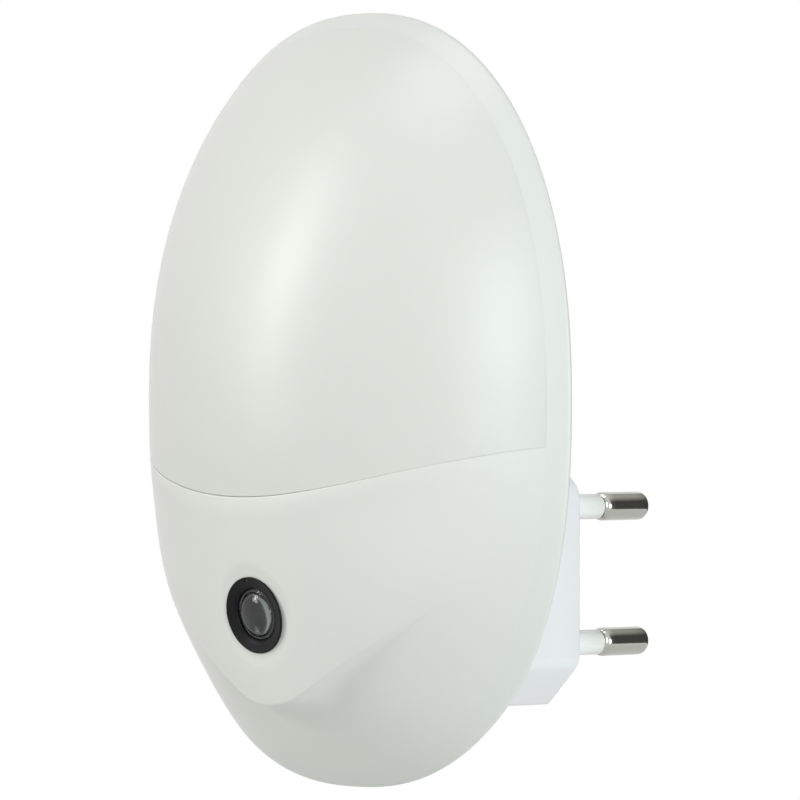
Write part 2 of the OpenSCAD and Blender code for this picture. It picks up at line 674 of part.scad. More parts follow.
// Where the leads end on the driver board, below its top edge
lead_down = 12.7;
module sensor_leads() {
    back = cup_back + cup_floor;
    start = [bib_surface_y - back * cos(bib_tilt), sensor_z - back * sin(bib_tilt)];
    board = driver_back - board_t;
    land = driver_top - lead_down;
    color("#9A3A34") egg() for (side = [-1, 1])
        wire([for (p = [start, start + [1.5, 0.3], start + [3, 0.55], start + [5.5, 0.7],
                [-4, land + 0.1], [-1, land], [board, land]])
            [side * lead_x, p[0], p[1]]], lead_d);
}

// ---- Driver board and what it carries; each component stands on the board's front face ----

// The driver board's lower corners are cut off, as the egg narrows there
driver_corner = 5.5;
module driver_board()
    let (w = driver_w / 2, low = driver_top - driver_h, cut = driver_corner)
    color("#B98B4E") egg() difference() {
        prism([[-w, driver_top], [w, driver_top], [w, low + cut], [w - cut, low], [cut - w, low],
            [-w, low + cut]], driver_back - board_t, driver_back);
        for (p = driver_screws)
            rod(board_screw_d / 2 + 0.1, driver_back - board_t - 1, driver_back + 1, p[0], p[1]);
        for (s = [-1, 1])
            translate([strip_x - 0.1, 0, -body_z + s * (pin_pitch / 2 - strip_offset) - strip_w / 2 - 0.1])
                cube([strip_t + 0.2, 5, strip_w + 0.2]);
    }

// Place on the driver board: x from its middle, z down from its top edge, +Z pointing off the board
module on_driver(x, down)
    egg() translate([x, driver_back - board_t, driver_top - down]) rotate([90, 0, 0]) children();

module dropper_capacitor()
    color("#B5462F") on_driver(-driver_w / 2 + 8, driver_h - 8) union() {
        translate([-dropper_w / 2, -dropper_l / 2, standoff])
            cube([dropper_w, dropper_l, dropper_h - standoff]);
        for (z = [-1, 1])
            translate([0, z * (dropper_l / 2 - 1), 0]) cylinder(d = 0.8, h = 2 * standoff);
    }
standoff = 0.4;

module smoothing_capacitor()
    let (r = smoother_d / 2, l = smoother_l, s = standoff, bead = 0.3)
    color("#2B3A66") on_driver(driver_w / 2 - 8.5, driver_h - 7.5) union() {
        rotate_extrude() polygon([[0, s], [r - bead, s], [r, s + bead], [r, s + 3 * bead],
            [r - bead, s + 4 * bead], [r, s + 5 * bead], [r, l - bead], [r - bead, l], [0, l]]);
        for (side = [-1, 1])
            translate([side * 0.22 * smoother_d, 0, 0]) cylinder(d = 0.6, h = 2 * standoff);
    }

module bridge_rectifier()
    color("#2A2A2C") on_driver(-2.5, 4.2) union() {
        translate([-2.4, -2, 0.3]) cube([4.8, 4, 2.4]);
        for (x = [-1.3, 1.3], s = [-1, 1])
            translate([x - 0.3, s * 2.6 - 0.6, 0]) cube([0.6, 1.2, 0.8]);
    }

// Two-legged part that lies over the board, along X
module axial(r, length, pitch, leg_d, x, down)
    on_driver(x, down) union() {
        translate([-length / 2, 0, r + 0.3]) rotate([0, 90, 0]) rotate_extrude()
            polygon([[0, 0], [0.8 * r, 0], [r, 0.12 * length], [r, 0.26 * length], [0.86 * r, 0.32 * length],
                [0.86 * r, 0.68 * length], [r, 0.74 * length], [r, 0.88 * length], [0.8 * r, length],
                [0, length]]);
        translate([-pitch / 2 - leg_d / 2, 0, r + 0.3]) rotate([0, 90, 0])
            cylinder(d = leg_d, h = pitch + leg_d);
        for (s = [-1, 1])
            translate([s * pitch / 2, 0, 0]) cylinder(d = leg_d, h = r + 0.3);
    }
module fusible_resistor() color("#8FA7B5") axial(1.6, 7.5, 10, 0.6, 0.5, 20.8);
module discharge_resistor() color("#C9A46B") axial(1.1, 5.5, 8, 0.5, -3.2, 9.2);
module current_resistor() color("#B9C4A0") axial(1.1, 5.5, 8, 0.5, -3, 17);
module zener_diode() color("#C4622D") axial(0.9, 3.6, 6, 0.5, driver_w / 2 - 7.5, 9.4);

module transistor()
    color("#29292B") on_driver(driver_w / 2 - 12.5, 4.2) union() {
        translate([0, 0, 2]) difference() {
            cylinder(d = 4.6, h = 4.6);
            translate([-3, 1.2, -1]) cube([6, 3, 7]);
        }
        for (x = [-1.27, 0, 1.27])
            translate([x - 0.2, -0.2, 0]) cube([0.4, 0.4, 2.5]);
    }

// ---- Reflector and LEDs ----

reflector_gap = 0.3;
module reflector() {
    ax = tongue_axes(tongue_t + reflector_gap);
    edge = [for (i = [0 : 71]) oval(5 * i, ax[0], ax[1])];
    inset = wall + reflector_gap + 0.1;
    x_end = ax[0] - 2 * reflector_gap;
    front_edge = [for (i = [0 : 24]) let (x = -x_end + 2 * x_end * i / 24)
        [x, front_y(x, shelf_z, inset)]];
    color("#EDEDE8") egg() difference() {
        union() {
            intersection() {
                prism(edge, 0, reflector_t);
                translate([-body_w, -1, shelf_z]) cube([2 * body_w, 5, body_h]);
            }
            translate([0, 0, shelf_z]) linear_extrude(reflector_t)
                polygon(concat(front_edge, [[x_end, reflector_t / 2], [-x_end, reflector_t / 2]]));
        }
        rod(post_r + 0.5, -1, reflector_t + 1, 0, top_post_z);
        for (p = led_places)
            rod(led_d / 2 + 0.7, -1, reflector_t + 1, p[0], p[1]);
        for (p = led_screws)
            rod(board_screw_d / 2 + 0.1, -1, reflector_t + 1, p[0], p[1]);
    }
}

led_places = [for (s = [1, -1], r = [-1, 1])
    [r * led_pitch_x / 2, led_board_z + s * led_pitch_z / 2]];
module led_board()
    color("#E9ECE6") egg() difference() {
        translate([-led_board_w / 2, reflector_t, led_board_z - led_board_h / 2])
            cube([led_board_w, board_t, led_board_h]);
        for (p = led_screws)
            rod(board_screw_d / 2 + 0.1, 0, led_board_back + 1, p[0], p[1]);
    }

led_h = 8.6;
module led(k) {
    r = led_d / 2;
    base = 1;
    dome = [for (i = [0 : 6]) [r * cos(15 * i), led_h - r + r * sin(15 * i)]];
    color("#F3EFD2", 0.8) egg() translate([led_places[k][0], reflector_t, led_places[k][1]])
        rotate([90, 0, 0]) rotate_extrude()
            polygon(concat([[0, 0], [r + 0.4, 0], [r + 0.4, base], [r, base]], dome));
}
module led_1() led(0);
module led_2() led(1);
module led_3() led(2);
module led_4() led(3);

// Wires from the driver board's back, over its top edge, to the LED board's back
wire_x = 12;
module led_wire(x) {
    r = wire_d / 2;
    board = driver_back + r;
    end = led_board_back + r;
    lift = board + 1.4;
    foot = led_board_z - led_board_h / 2;
    half_way = (driver_top + foot) / 2;
    egg() wire([[x, board, driver_top - 2.2], [x, board, driver_top - 0.8], [x, lift, driver_top + 1.5],
        [x, lift, half_way], [x, lift, foot - 1.5], [x, end, foot + 0.8], [x, end, foot + 2.4]], wire_d);
}
module led_wire_live() color("#B3392F") led_wire(-wire_x);
module led_wire_return() color("#2B2B2D") led_wire(wire_x);

// ---- Fasteners ----

// Self-tapping screw along -Y from its head's seat, with a cross recess
module screw(d, length, head_r, head_t) {
    rotate([-90, 0, 0]) difference() {
        union() {
            rotate_extrude() polygon([[0, 0], [head_r, 0], [head_r, 0.6 * head_t],
                [0.7 * head_r, head_t], [0, head_t]]);
            translate([0, 0, -length]) cylinder(d = d, h = length + 0.01);
        }
        for (turn = [0, 90])
            rotate([0, 0, turn]) translate([-0.6 * head_r, -0.12 * head_r, 0.45 * head_t])
                cube([1.2 * head_r, 0.24 * head_r, head_t]);
    }
}

module case_screws()
    color("#A9A9A6") egg() for (p = case_posts)
        translate([p[0], head_seat, p[1]])
            screw(case_screw_d, head_seat + screw_reach, case_head_r, case_head_t);

module board_screws()
    color("#A9A9A6") egg() {
        for (p = driver_screws)
            translate([p[0], driver_back - board_t, p[1]]) rotate([180, 0, 0])
                screw(board_screw_d, board_screw_l, board_screw_d, 1.2);
        for (p = led_screws)
            translate([p[0], 0, p[1]]) rotate([180, 0, 0])
                screw(board_screw_d, board_screw_l, board_screw_d, 1.2);
    }

module plug_screws()
    color("#A9A9A6") for (side = [-1, 1])
        translate([side * ear_x, flange_front + plug_head_t, 0]) rotate([180, 0, 0])
            screw(board_screw_d, plug_screw_l, board_screw_d, plug_head_t);

diffuser();
front_cover();
rear_housing();
plug_body();
upper_pin();
lower_pin();
upper_pin_sleeve();
lower_pin_sleeve();
pin_retainer();
upper_contact();
lower_contact();
sensor_bezel();
sensor_lens();
sensor_cup();
light_sensor();
sensor_leads();
driver_board();
dropper_capacitor();
smoothing_capacitor();
bridge_rectifier();
fusible_resistor();
discharge_resistor();
current_resistor();
zener_diode();
transistor();
reflector();
led_board();
led_1();
led_2();
led_3();
led_4();
led_wire_live();
led_wire_return();
case_screws();
board_screws();
plug_screws();
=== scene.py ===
import math

import bmesh
import bpy
import numpy as np
from mathutils import Matrix, Vector


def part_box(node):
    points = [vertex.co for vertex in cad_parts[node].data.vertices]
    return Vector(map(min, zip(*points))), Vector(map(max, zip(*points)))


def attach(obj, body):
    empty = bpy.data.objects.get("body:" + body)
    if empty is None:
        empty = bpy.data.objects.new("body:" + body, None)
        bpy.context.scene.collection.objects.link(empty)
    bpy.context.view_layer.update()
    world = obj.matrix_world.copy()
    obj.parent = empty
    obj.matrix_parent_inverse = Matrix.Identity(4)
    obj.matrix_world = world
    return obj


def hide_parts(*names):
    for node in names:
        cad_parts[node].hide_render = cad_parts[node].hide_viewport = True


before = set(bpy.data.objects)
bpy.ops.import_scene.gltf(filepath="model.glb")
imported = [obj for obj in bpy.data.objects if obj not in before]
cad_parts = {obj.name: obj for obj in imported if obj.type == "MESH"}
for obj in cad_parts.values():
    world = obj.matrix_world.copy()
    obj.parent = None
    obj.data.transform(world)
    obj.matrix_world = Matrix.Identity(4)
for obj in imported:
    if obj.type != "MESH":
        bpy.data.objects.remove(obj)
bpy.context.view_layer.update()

# ---- Camera ----
# A long lens a metre away, level with the night light's middle and 46 degrees round to its right-hand
# side. Its pieces are drawn from the middle of the egg's rim: X across, Y towards the wall, Z up.

MM = 0.001
REAR_DEPTH = 12.0       # rim to flat back
rear_low, rear_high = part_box("rear_housing")
half_width = (rear_high.x - rear_low.x) / 2 / MM
half_height = (rear_high.z - rear_low.z) / 2 / MM
egg_origin = np.array([0.0, rear_high.y / MM - REAR_DEPTH, (rear_high.z + rear_low.z) / 2 / MM])

VIEW_AZIMUTH = math.radians(45.79)
VIEW_HEIGHT = math.radians(0.34)
VIEW_ROLL = math.radians(0.04)
VIEW_DISTANCE = 1000.0
VIEW_OFFSET = (4.82, -0.02)    # right and up from the egg's centre
VIEW_LENS = 331.2
SENSOR_WIDTH = 36.0
VIEW_END = 50.0                # metres

back = Vector((math.sin(VIEW_AZIMUTH) * math.cos(VIEW_HEIGHT),
               -math.cos(VIEW_AZIMUTH) * math.cos(VIEW_HEIGHT), math.sin(VIEW_HEIGHT)))
level = Vector((math.cos(VIEW_AZIMUTH), math.sin(VIEW_AZIMUTH), 0))
above = back.cross(level)
right = level * math.cos(VIEW_ROLL) + above * math.sin(VIEW_ROLL)
above = back.cross(right)
camera_data = bpy.data.cameras.new("camera")
camera_data.sensor_width = SENSOR_WIDTH
camera_data.lens = VIEW_LENS
camera_data.clip_end = VIEW_END
camera = bpy.data.objects.new("camera", camera_data)
bpy.context.scene.collection.objects.link(camera)
place = Vector(egg_origin) + back * VIEW_DISTANCE + right * VIEW_OFFSET[0] + above * VIEW_OFFSET[1]
camera.matrix_world = Matrix.Translation(place * MM) @ Matrix((right, above, back)).transposed().to_4x4()
bpy.context.scene.camera = camera
bpy.context.scene.view_settings.view_transform = "Standard"

# ---- Studio ----
# A sheet of white paper under the night light, which hangs clear of it as it would on a wall. Four
# softboxes light it: one in front at its left, two at its right and one overhead. A small lamp before
# each of the first two adds a streak of shine, and a dark card shows only in what is glossy.


def linear(colour):
    """A hex sRGB colour as linear red, green, blue and alpha."""
    parts = [int(colour[i:i + 2], 16) / 255 for i in (1, 3, 5)]
    return [p / 12.92 if p <= 0.04045 else ((p + 0.055) / 1.055) ** 2.4 for p in parts] + [1.0]


def add(tree, kind, settings=None, links=None, **sockets):
    """A shader node with its settings, its socket values and the sockets linked into it."""
    node = tree.nodes.new("ShaderNode" + kind)
    for name, value in (settings or {}).items():
        setattr(node, name, value)
    for name, value in sockets.items():
        node.inputs[name.replace("_", " ")].default_value = value
    for name, source in (links or {}).items():
        tree.links.new(source, node.inputs[name])
    return node


def new_material(name):
    """An empty material and its node tree."""
    material = bpy.data.materials.new(name)
    material.use_nodes = True
    material.node_tree.nodes.clear()
    return material, material.node_tree


def seen_directly(tree):
    """1 for rays from the camera, a reflection or a clear part, and 0 for the rest."""
    path = add(tree, "LightPath")
    either = add(tree, "Math", {"operation": "MAXIMUM"},
                 {0: path.outputs["Is Camera Ray"], 1: path.outputs["Is Glossy Ray"]})
    return add(tree, "Math", {"operation": "MAXIMUM"},
               {0: either.outputs[0], 1: path.outputs["Is Transmission Ray"]}).outputs[0]


AMBIENT = 0.175                # strength of the even light from all round
world = bpy.data.worlds.new("tent")
bpy.context.scene.world = world
world.use_nodes = True
world.node_tree.nodes.clear()
tent = add(world.node_tree, "Background", Color=linear("#F4F6F6"), Strength=AMBIENT)
paper = add(world.node_tree, "Background", Color=(1, 1, 1, 1), Strength=1.0)
mixed = add(world.node_tree, "MixShader",
            links={0: seen_directly(world.node_tree), 1: tent.outputs[0], 2: paper.outputs[0]})
add(world.node_tree, "OutputWorld", links={"Surface": mixed.outputs[0]})

FLOOR_DROP = 120.0
FLOOR_SIZE = 6.0               # half its width, in metres
SHADOW_SHARE = 0.35            # how much of the paper's own shade shows under the night light
SHADOW_NEAR, SHADOW_FAR = 0.25, 0.6    # distances over which that shade fades out, in metres
floor_mesh = bpy.data.meshes.new("floor")
floor_z = (egg_origin[2] - half_height - FLOOR_DROP) * MM
corners = [(x * FLOOR_SIZE, y * FLOOR_SIZE, floor_z) for x, y in ((-1, -1), (1, -1), (1, 1), (-1, 1))]
floor_mesh.from_pydata(corners, [], [(0, 1, 2, 3)])
floor = bpy.data.objects.new("floor", floor_mesh)
bpy.context.scene.collection.objects.link(floor)
white_paper, tree = new_material("matt_white_paper")
own = add(tree, "BsdfDiffuse", Color=linear("#F2F2F0"), Roughness=1.0)
white = add(tree, "Emission", Color=(1, 1, 1, 1), Strength=1.0)
distance = add(tree, "VectorMath", {"operation": "LENGTH"}, {0: add(tree, "TexCoord").outputs["Object"]})
whiteness = add(tree, "MapRange", {"interpolation_type": "SMOOTHSTEP"}, {"Value": distance.outputs["Value"]},
                From_Min=SHADOW_NEAR, From_Max=SHADOW_FAR, To_Min=1 - SHADOW_SHARE, To_Max=1.0)
lit = add(tree, "MixShader", links={0: whiteness.outputs[0], 1: own.outputs[0], 2: white.outputs[0]})
shown = add(tree, "MixShader", links={0: seen_directly(tree), 1: own.outputs[0], 2: lit.outputs[0]})
add(tree, "OutputMaterial", links={"Surface": shown.outputs[0]})
floor_mesh.materials.append(white_paper)


def softbox(name, azimuth, height, distance, width, tall, power, colour):
    """A lamp that faces the egg, in degrees, metres and watts; azimuth 0 is straight in front of it."""
    data = bpy.data.lights.new(name, "AREA")
    data.shape = "RECTANGLE"
    data.size = width
    data.size_y = tall
    data.energy = power
    data.color = linear(colour)[:3]
    lamp = bpy.data.objects.new(name, data)
    bpy.context.scene.collection.objects.link(lamp)
    azimuth, height = math.radians(azimuth), math.radians(height)
    towards = Vector((math.sin(azimuth) * math.cos(height), -math.cos(azimuth) * math.cos(height),
                      math.sin(height)))
    lamp.location = Vector(egg_origin) * MM + towards * distance
    lamp.rotation_euler = towards.to_track_quat("Z", "Y").to_euler()


# Azimuth and height, distance, the lamp's own width and height, power and colour.
softbox("left_softbox", -31, 22, 0.9, 0.28, 0.70, 3.25, "#FFFEFC")
softbox("left_tube", -31, 22, 0.88, 0.08, 0.10, 0.5, "#FFFEFC")
softbox("right_softbox", 57, 10, 0.9, 0.24, 0.46, 2.6, "#F8FFFF")
softbox("right_tube", 57, 10, 0.88, 0.06, 0.10, 0.4, "#F8FFFF")
softbox("side_softbox", 106, -8, 0.9, 0.40, 0.72, 5.3, "#F8FFFF")
softbox("overhead_softbox", 0, 75, 0.9, 0.50, 0.50, 2.1, "#FFFFFF")

CARD_DISTANCE = 250.0
CARD_MIDDLE = np.array([0.0, 14.0, 0.0])    # between the pins
CARD_TURN = (118.0, 204.0)     # azimuths of its ends, from its middle
CARD_HEIGHT = (-15.0, 62.0)    # and heights of its edges, both in degrees
CARD_COLUMNS, CARD_ROWS = 24, 20
CARD_DARK, CARD_PALE = 0.085, 0.95     # brightness of its lower and upper parts
CARD_GRADE = (0.42, 0.95)      # heights between which it turns from dark to pale, as shares of its distance
turns = np.radians(np.linspace(*CARD_TURN, CARD_COLUMNS + 1))
heights = np.radians(np.linspace(*CARD_HEIGHT, CARD_ROWS + 1))
towards = [(math.sin(t) * math.cos(h), -math.cos(t) * math.cos(h), math.sin(h))
           for h in heights for t in turns]
points = CARD_MIDDLE + CARD_DISTANCE * np.array(towards)
row = CARD_COLUMNS + 1
faces = [(j * row + i, j * row + i + 1, (j + 1) * row + i + 1, (j + 1) * row + i)
         for j in range(CARD_ROWS) for i in range(CARD_COLUMNS)]
card_mesh = bpy.data.meshes.new("dark_card")
card_mesh.from_pydata([tuple(p * MM) for p in points], [], faces)
card = bpy.data.objects.new("dark_card", card_mesh)
bpy.context.scene.collection.objects.link(card)
card.visible_camera = card.visible_diffuse = card.visible_transmission = card.visible_shadow = False
card_paper, tree = new_material("graded_grey_card")
height = add(tree, "SeparateXYZ", links={0: add(tree, "TexCoord").outputs["Object"]})
grade = add(tree, "MapRange", {"interpolation_type": "SMOOTHSTEP"}, {"Value": height.outputs["Z"]},
            From_Min=CARD_GRADE[0] * CARD_DISTANCE * MM, From_Max=CARD_GRADE[1] * CARD_DISTANCE * MM,
            To_Min=CARD_DARK, To_Max=CARD_PALE)
shade = add(tree, "Emission", links={"Strength": grade.outputs[0]}, Color=linear("#FFFDF6"))
add(tree, "OutputMaterial", links={"Surface": shade.outputs[0]})
card_mesh.materials.append(card_paper)

# ---- Diffuser ----
# The upper half of the egg's front: milk-white polypropylene, injection moulded in a finely
# spark-eroded tool, so it is satin and lets light through but shows nothing behind it.

OUTLINE_POWER = 2.25     # of the egg's outline above its widest line, a superellipse
OUTLINE_LOW_POWER = 2.35
DOME_CUT = 0.5           # how far the dome stops short of a half ellipsoid
TOE = 1.6                # how far the egg's lower end is carried forward
TOE_START = 0.63         # share of the way down at which that starts
SKIRT = 3.0              # width of the rear housing's band, in front of the rim
SEAM_UP = 39.8           # height of the seam's middle above the egg's lowest point
SEAM_RISE = 7.2          # how far the seam's ends stand above its middle
SEAM_ROUND = 0.54        # how much it flattens towards its ends
SEAM_GAP = 0.012
SEAM_TAPER = 0.008       # how fast the seam's rounding grows from its ends
SEAM_POINTS = 161
PARTING_RADIUS = 0.0015  # both shells' edges along the parting line
DIFFUSER_WALL = 1.8
DIFFUSER_EDGE = 0.15     # round of its edge along the seam
DIFFUSER_RIM_POINTS = 261
DIFFUSER_RINGS = 90
DIFFUSER_CENTRE = np.array([0.0, 14.0])
RINGS_START = 0.012      # the rings' spread, as shares of the way to the edge
RINGS_END = 0.9999
QUARTER_TURN = [math.radians(t) for t in (0, 18, 36, 54, 72, 90)]
dome_depth = egg_origin[1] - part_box("diffuser")[0].y / MM
seam_middle = SEAM_UP - half_height


def oval(angle, half_w, half_h):
    """Points of the egg's outline, at angles that turn from +X through +Z."""
    c, s = np.cos(angle), np.sin(angle)
    power = 2 / np.where(s < 0, OUTLINE_LOW_POWER, OUTLINE_POWER)
    return np.stack([half_w * np.sign(c) * np.abs(c) ** power, half_h * np.sign(s) * np.abs(s) ** power], -1)


def share_at(x, z):
    """Share of the way from the centre to the rim, 1 on the rim."""
    power = np.where(z < 0, OUTLINE_LOW_POWER, OUTLINE_POWER)
    return (np.abs(x / half_width) ** power + np.abs(z / half_height) ** power) ** (1 / power)


def soft(t):
    """Smooth step from 0 to 1."""
    t = np.clip(t, 0, 1)
    return t * t * (3 - 2 * t)


def lean(z):
    """How far the egg is carried forward at a height."""
    return TOE * soft((-z / half_height - TOE_START) / (1 - TOE_START))


def dome_y(x, z):
    """Front surface of the plain egg."""
    full = dome_depth / (1 - DOME_CUT)
    share = np.minimum(share_at(x, z), 1)
    return DOME_CUT * full - full * np.sqrt(1 - (1 - DOME_CUT ** 2) * share ** 2) - lean(z)


def dome_share(y):
    """Share at which the dome crosses a plane of constant Y."""
    full = dome_depth / (1 - DOME_CUT)
    return math.sqrt((1 - ((DOME_CUT * full - y) / full) ** 2) / (1 - DOME_CUT ** 2))


def seam_z(x):
    """Height of the seam between the diffuser and the front cover."""
    u = x / half_width
    return seam_middle + SEAM_RISE * ((1 + SEAM_ROUND) * u ** 2 - SEAM_ROUND * u ** 4)


def seam_corner(parting):
    """Angle at which the parting edge meets the seam on the right-hand side, found by halving."""
    low, high = math.radians(-40), math.radians(20)
    for _ in range(40):
        middle = (low + high) / 2
        x, z = oval(middle, *parting)
        low, high = (low, middle) if z > seam_z(x) else (middle, high)
    return middle


def surface(point, height):
    """Points of the front surface over points of the XZ plane."""
    return np.stack([point[..., 0], height(point[..., 0], point[..., 1]), point[..., 1]], -1)


def outward(point, height):
    """Unit normals of the front surface, pointing away from the wall."""
    step = 0.02
    x, z = point[..., 0], point[..., 1]
    slope_x = (height(x + step, z) - height(x - step, z)) / (2 * step)
    slope_z = (height(x, z + step) - height(x, z - step)) / (2 * step)
    normal = np.stack([slope_x, -np.ones_like(x), slope_z], -1)
    return normal / np.linalg.norm(normal, axis=-1, keepdims=True)


def rolled_edge(edge, along_seam, seam_radius, height, wall):
    """Rings that take a shell round its edge, from the front surface to the inside of its wall."""
    corners = edge[along_seam != np.roll(along_seam, 1)]
    from_corner = np.linalg.norm(edge[:, None] - corners, axis=-1).min(-1)
    tapered = np.minimum(seam_radius, PARTING_RADIUS + SEAM_TAPER * from_corner)
    radius = np.where(along_seam, tapered, PARTING_RADIUS)[:, None]
    at = surface(edge, height)
    normal = outward(edge, height)
    along = np.roll(at, -1, 0) - np.roll(at, 1, 0)
    across = np.cross(along, normal)
    across /= np.linalg.norm(across, axis=-1, keepdims=True)
    middle = at.mean(0)
    across *= np.sign(np.sum(across * (at - middle), -1, keepdims=True))
    roll = [at - across * radius * (1 - math.sin(t)) - normal * radius * (1 - math.cos(t))
            for t in QUARTER_TURN]
    return roll + [at - normal * (radius + wall) / 2, at - normal * wall]


def skin(name, rings, poles=(None, None), closed=False):
    """A mesh object over rings of equal length, in millimetres from the egg's centre."""
    rings = np.asarray(rings, float)
    count, around = rings.shape[:2]
    points = list(rings.reshape(-1, 3))
    faces = []
    for j in range(count if closed else count - 1):
        a, b = j * around, (j + 1) % count * around
        faces += [(a + i, a + (i + 1) % around, b + (i + 1) % around, b + i) for i in range(around)]
    for pole, ring in zip(poles, (0, (count - 1) * around)):
        if pole is not None:
            points.append(np.asarray(pole, float))
            faces += [(ring + i, ring + (i + 1) % around, len(points) - 1) for i in range(around)]
    mesh = bpy.data.meshes.new(name)
    mesh.from_pydata([tuple((egg_origin + p) * MM) for p in points], [], faces)
    shape = bmesh.new()
    shape.from_mesh(mesh)
    bmesh.ops.recalc_face_normals(shape, faces=shape.faces)
    shape.to_mesh(mesh)
    shape.free()
    mesh.shade_smooth()
    piece = bpy.data.objects.new(name, mesh)
    bpy.context.scene.collection.objects.link(piece)
    return piece


CLOUD_MM = 18.0          # size and strength of the plastics' faint cloudiness
CLOUD_TINT = 0.015
SATIN_SPREAD = 0.03      # how far a plastic's roughness varies with its grain
SCATTER_MM = 0.4         # how deep light goes into a plastic that scatters it


def moulded(name, colour, roughness, grain_mm, grain_height, scatter=0.0, specular=0.5):
    """Injection-moulded plastic: even colour, a satin tool finish and a trace of cloudiness.

    The grain of the real tool is finer, and is drawn as coarse as it needs to show.
    """
    material, tree = new_material(name)
    where = add(tree, "TexCoord").outputs["Object"]
    cloud = add(tree, "TexNoise", links={"Vector": where}, Scale=1 / (CLOUD_MM * MM), Detail=2.0)
    tint = add(tree, "Mix", {"data_type": "RGBA"}, {0: cloud.outputs["Fac"]})
    for socket, share in ((6, 1 - CLOUD_TINT), (7, 1 + CLOUD_TINT)):    # its two colours
        tint.inputs[socket].default_value = [min(1, c * share) for c in linear(colour)[:3]] + [1]
    grain = add(tree, "TexNoise", links={"Vector": where}, Scale=1 / (grain_mm * MM), Detail=3.0)
    bump = add(tree, "Bump", links={"Height": grain.outputs["Fac"]}, Strength=1.0, Distance=grain_height * MM)
    shine = add(tree, "MapRange", links={"Value": grain.outputs["Fac"]},
                To_Min=roughness - SATIN_SPREAD, To_Max=roughness + SATIN_SPREAD)
    plastic = add(tree, "BsdfPrincipled", links={"Base Color": tint.outputs[2], "Normal": bump.outputs[0],
                                                 "Roughness": shine.outputs[0]},
                  IOR=1.5, Specular_IOR_Level=specular)
    if scatter:
        plastic.inputs["Subsurface Weight"].default_value = scatter
        plastic.inputs["Subsurface Radius"].default_value = (1.0, 1.0, 0.9)
        plastic.inputs["Subsurface Scale"].default_value = SCATTER_MM * MM
    add(tree, "OutputMaterial", links={"Surface": plastic.outputs[0]})
    return material


def finish_piece(piece, material, slot, *nodes):
    """The piece's material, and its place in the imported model: what it stands for and rides on."""
    piece.data.materials.clear()
    piece.data.materials.append(material)
    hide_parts(*nodes)
    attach(piece, "root")


parting = np.array([half_width, half_height]) * dome_share(-SKIRT)
corner = seam_corner(parting)
over_top = oval(np.linspace(corner, math.pi - corner, DIFFUSER_RIM_POINTS), *parting)
seam_x = np.linspace(over_top[-1, 0], over_top[0, 0], SEAM_POINTS)[1:-1]
seam_edge = np.stack([seam_x, seam_z(seam_x)], -1)
edge = np.concatenate([over_top, seam_edge + [0, SEAM_GAP]])
edge[[0, len(over_top) - 1], 1] += SEAM_GAP
along_seam = np.arange(len(edge)) >= len(over_top)
rolled = rolled_edge(edge, along_seam, DIFFUSER_EDGE, dome_y, DIFFUSER_WALL)
start = rolled[0][:, [0, 2]]
shares = np.append(np.linspace(RINGS_START, 1, DIFFUSER_RINGS)[:-1], RINGS_END)
fan = [DIFFUSER_CENTRE + (start - DIFFUSER_CENTRE) * t for t in shares]
front = [surface(p, dome_y) for p in fan]
# The inside doesn't show, and needs only some of the rings.
inner = [surface(p, dome_y) - outward(p, dome_y) * DIFFUSER_WALL for p in fan[::-6]]
top = surface(DIFFUSER_CENTRE, dome_y)
diffuser = skin("diffuser_shell", front + rolled + inner, (top, top + [0, DIFFUSER_WALL, 0]))
milk_polypropylene = moulded("milk_polypropylene_spark_eroded", "#DFE0DB", 0.36, 0.35, 0.004, scatter=0.35)
finish_piece(diffuser, milk_polypropylene, "frosted_diffuser", "diffuser")

# ---- Front cover ----
# The lower half of the front: opaque ABS in the diffuser's colour. Its upper edge stands proud as a
# rounded lip, and its middle is drawn out to a flat bib that carries the sensor over a scooped chin.

COVER_WALL = 2.0
COVER_RIM_POINTS = 321
LIP_PROUD = 0.6
LIP_RADIUS = 0.3
LIP_SPREAD = 2.5         # how far below the seam the lip has sunk back to a third
LIP_FADE = 0.5           # shares of the way to the rim between which the lip fades out
LIP_END = 0.82
CREST_FALL = 0.55        # the lip's crest falls back towards the seam by this share of its height
CREST_SPAN = 2.8
BIB_TILT = math.radians(11.5)
BIB_RADIUS = 12.1        # of the bib's tip round the sensor
BIB_FLANK = math.radians(31)    # half the angle that the tip takes, before the straight flanks
BIB_LIMIT = math.radians(80)    # past the tip by this much, the bib has no lower edge
BIB_HALF_WIDTH = 28.0
BIB_SIDE_POWER = 1.3     # how fast the bib sinks into the egg towards its sides
BIB_STEP = 4.2           # width of the step under the bib, at its tip and along its flanks
BIB_FLANK_STEP = 2.2
FLANK_START = 0.6 * BIB_FLANK
FLANK_SPAN = 1.2 * BIB_FLANK
BIB_ROLL = 0.3           # how far the bib rolls back before its edge, and over what width
BIB_ROLL_SPAN = 5.6
HOLLOW_POWER = 4.0       # how steeply the step starts
HOLLOW_ROUND = 0.12      # share of the step's width that its top edge's round takes
CHIN_FULL = 0.8          # how far the chin stands out, and how far below the seam it does so fully
CHIN_SPREAD = 14.0
CHIN_FADE = 0.75         # share of the way to the rim from which the chin fades
SENSOR_UP = 23.9         # height of the sensor above the egg's lowest point
BEZEL_WIDTH = 10.5
BEZEL_TUBE = 8.8         # diameter of the tube behind the bezel's ring
BEZEL_CLEARANCE = 0.35
DISH_DEPTH = 0.2         # of the dish round the bezel, and the width over which it eases out
DISH_SOFT = 1.6
BIB_REACH = 0.86         # shares of the way to the edge that the rings keep inside
FOOT_REACH = 0.6
RINGS_CLEAR = 0.003      # from the last ring to the edge
sensor_z = SENSOR_UP - half_height
dish_radius = BEZEL_WIDTH / 2 + BEZEL_CLEARANCE
sensor_hole = BEZEL_TUBE / 2 + BEZEL_CLEARANCE


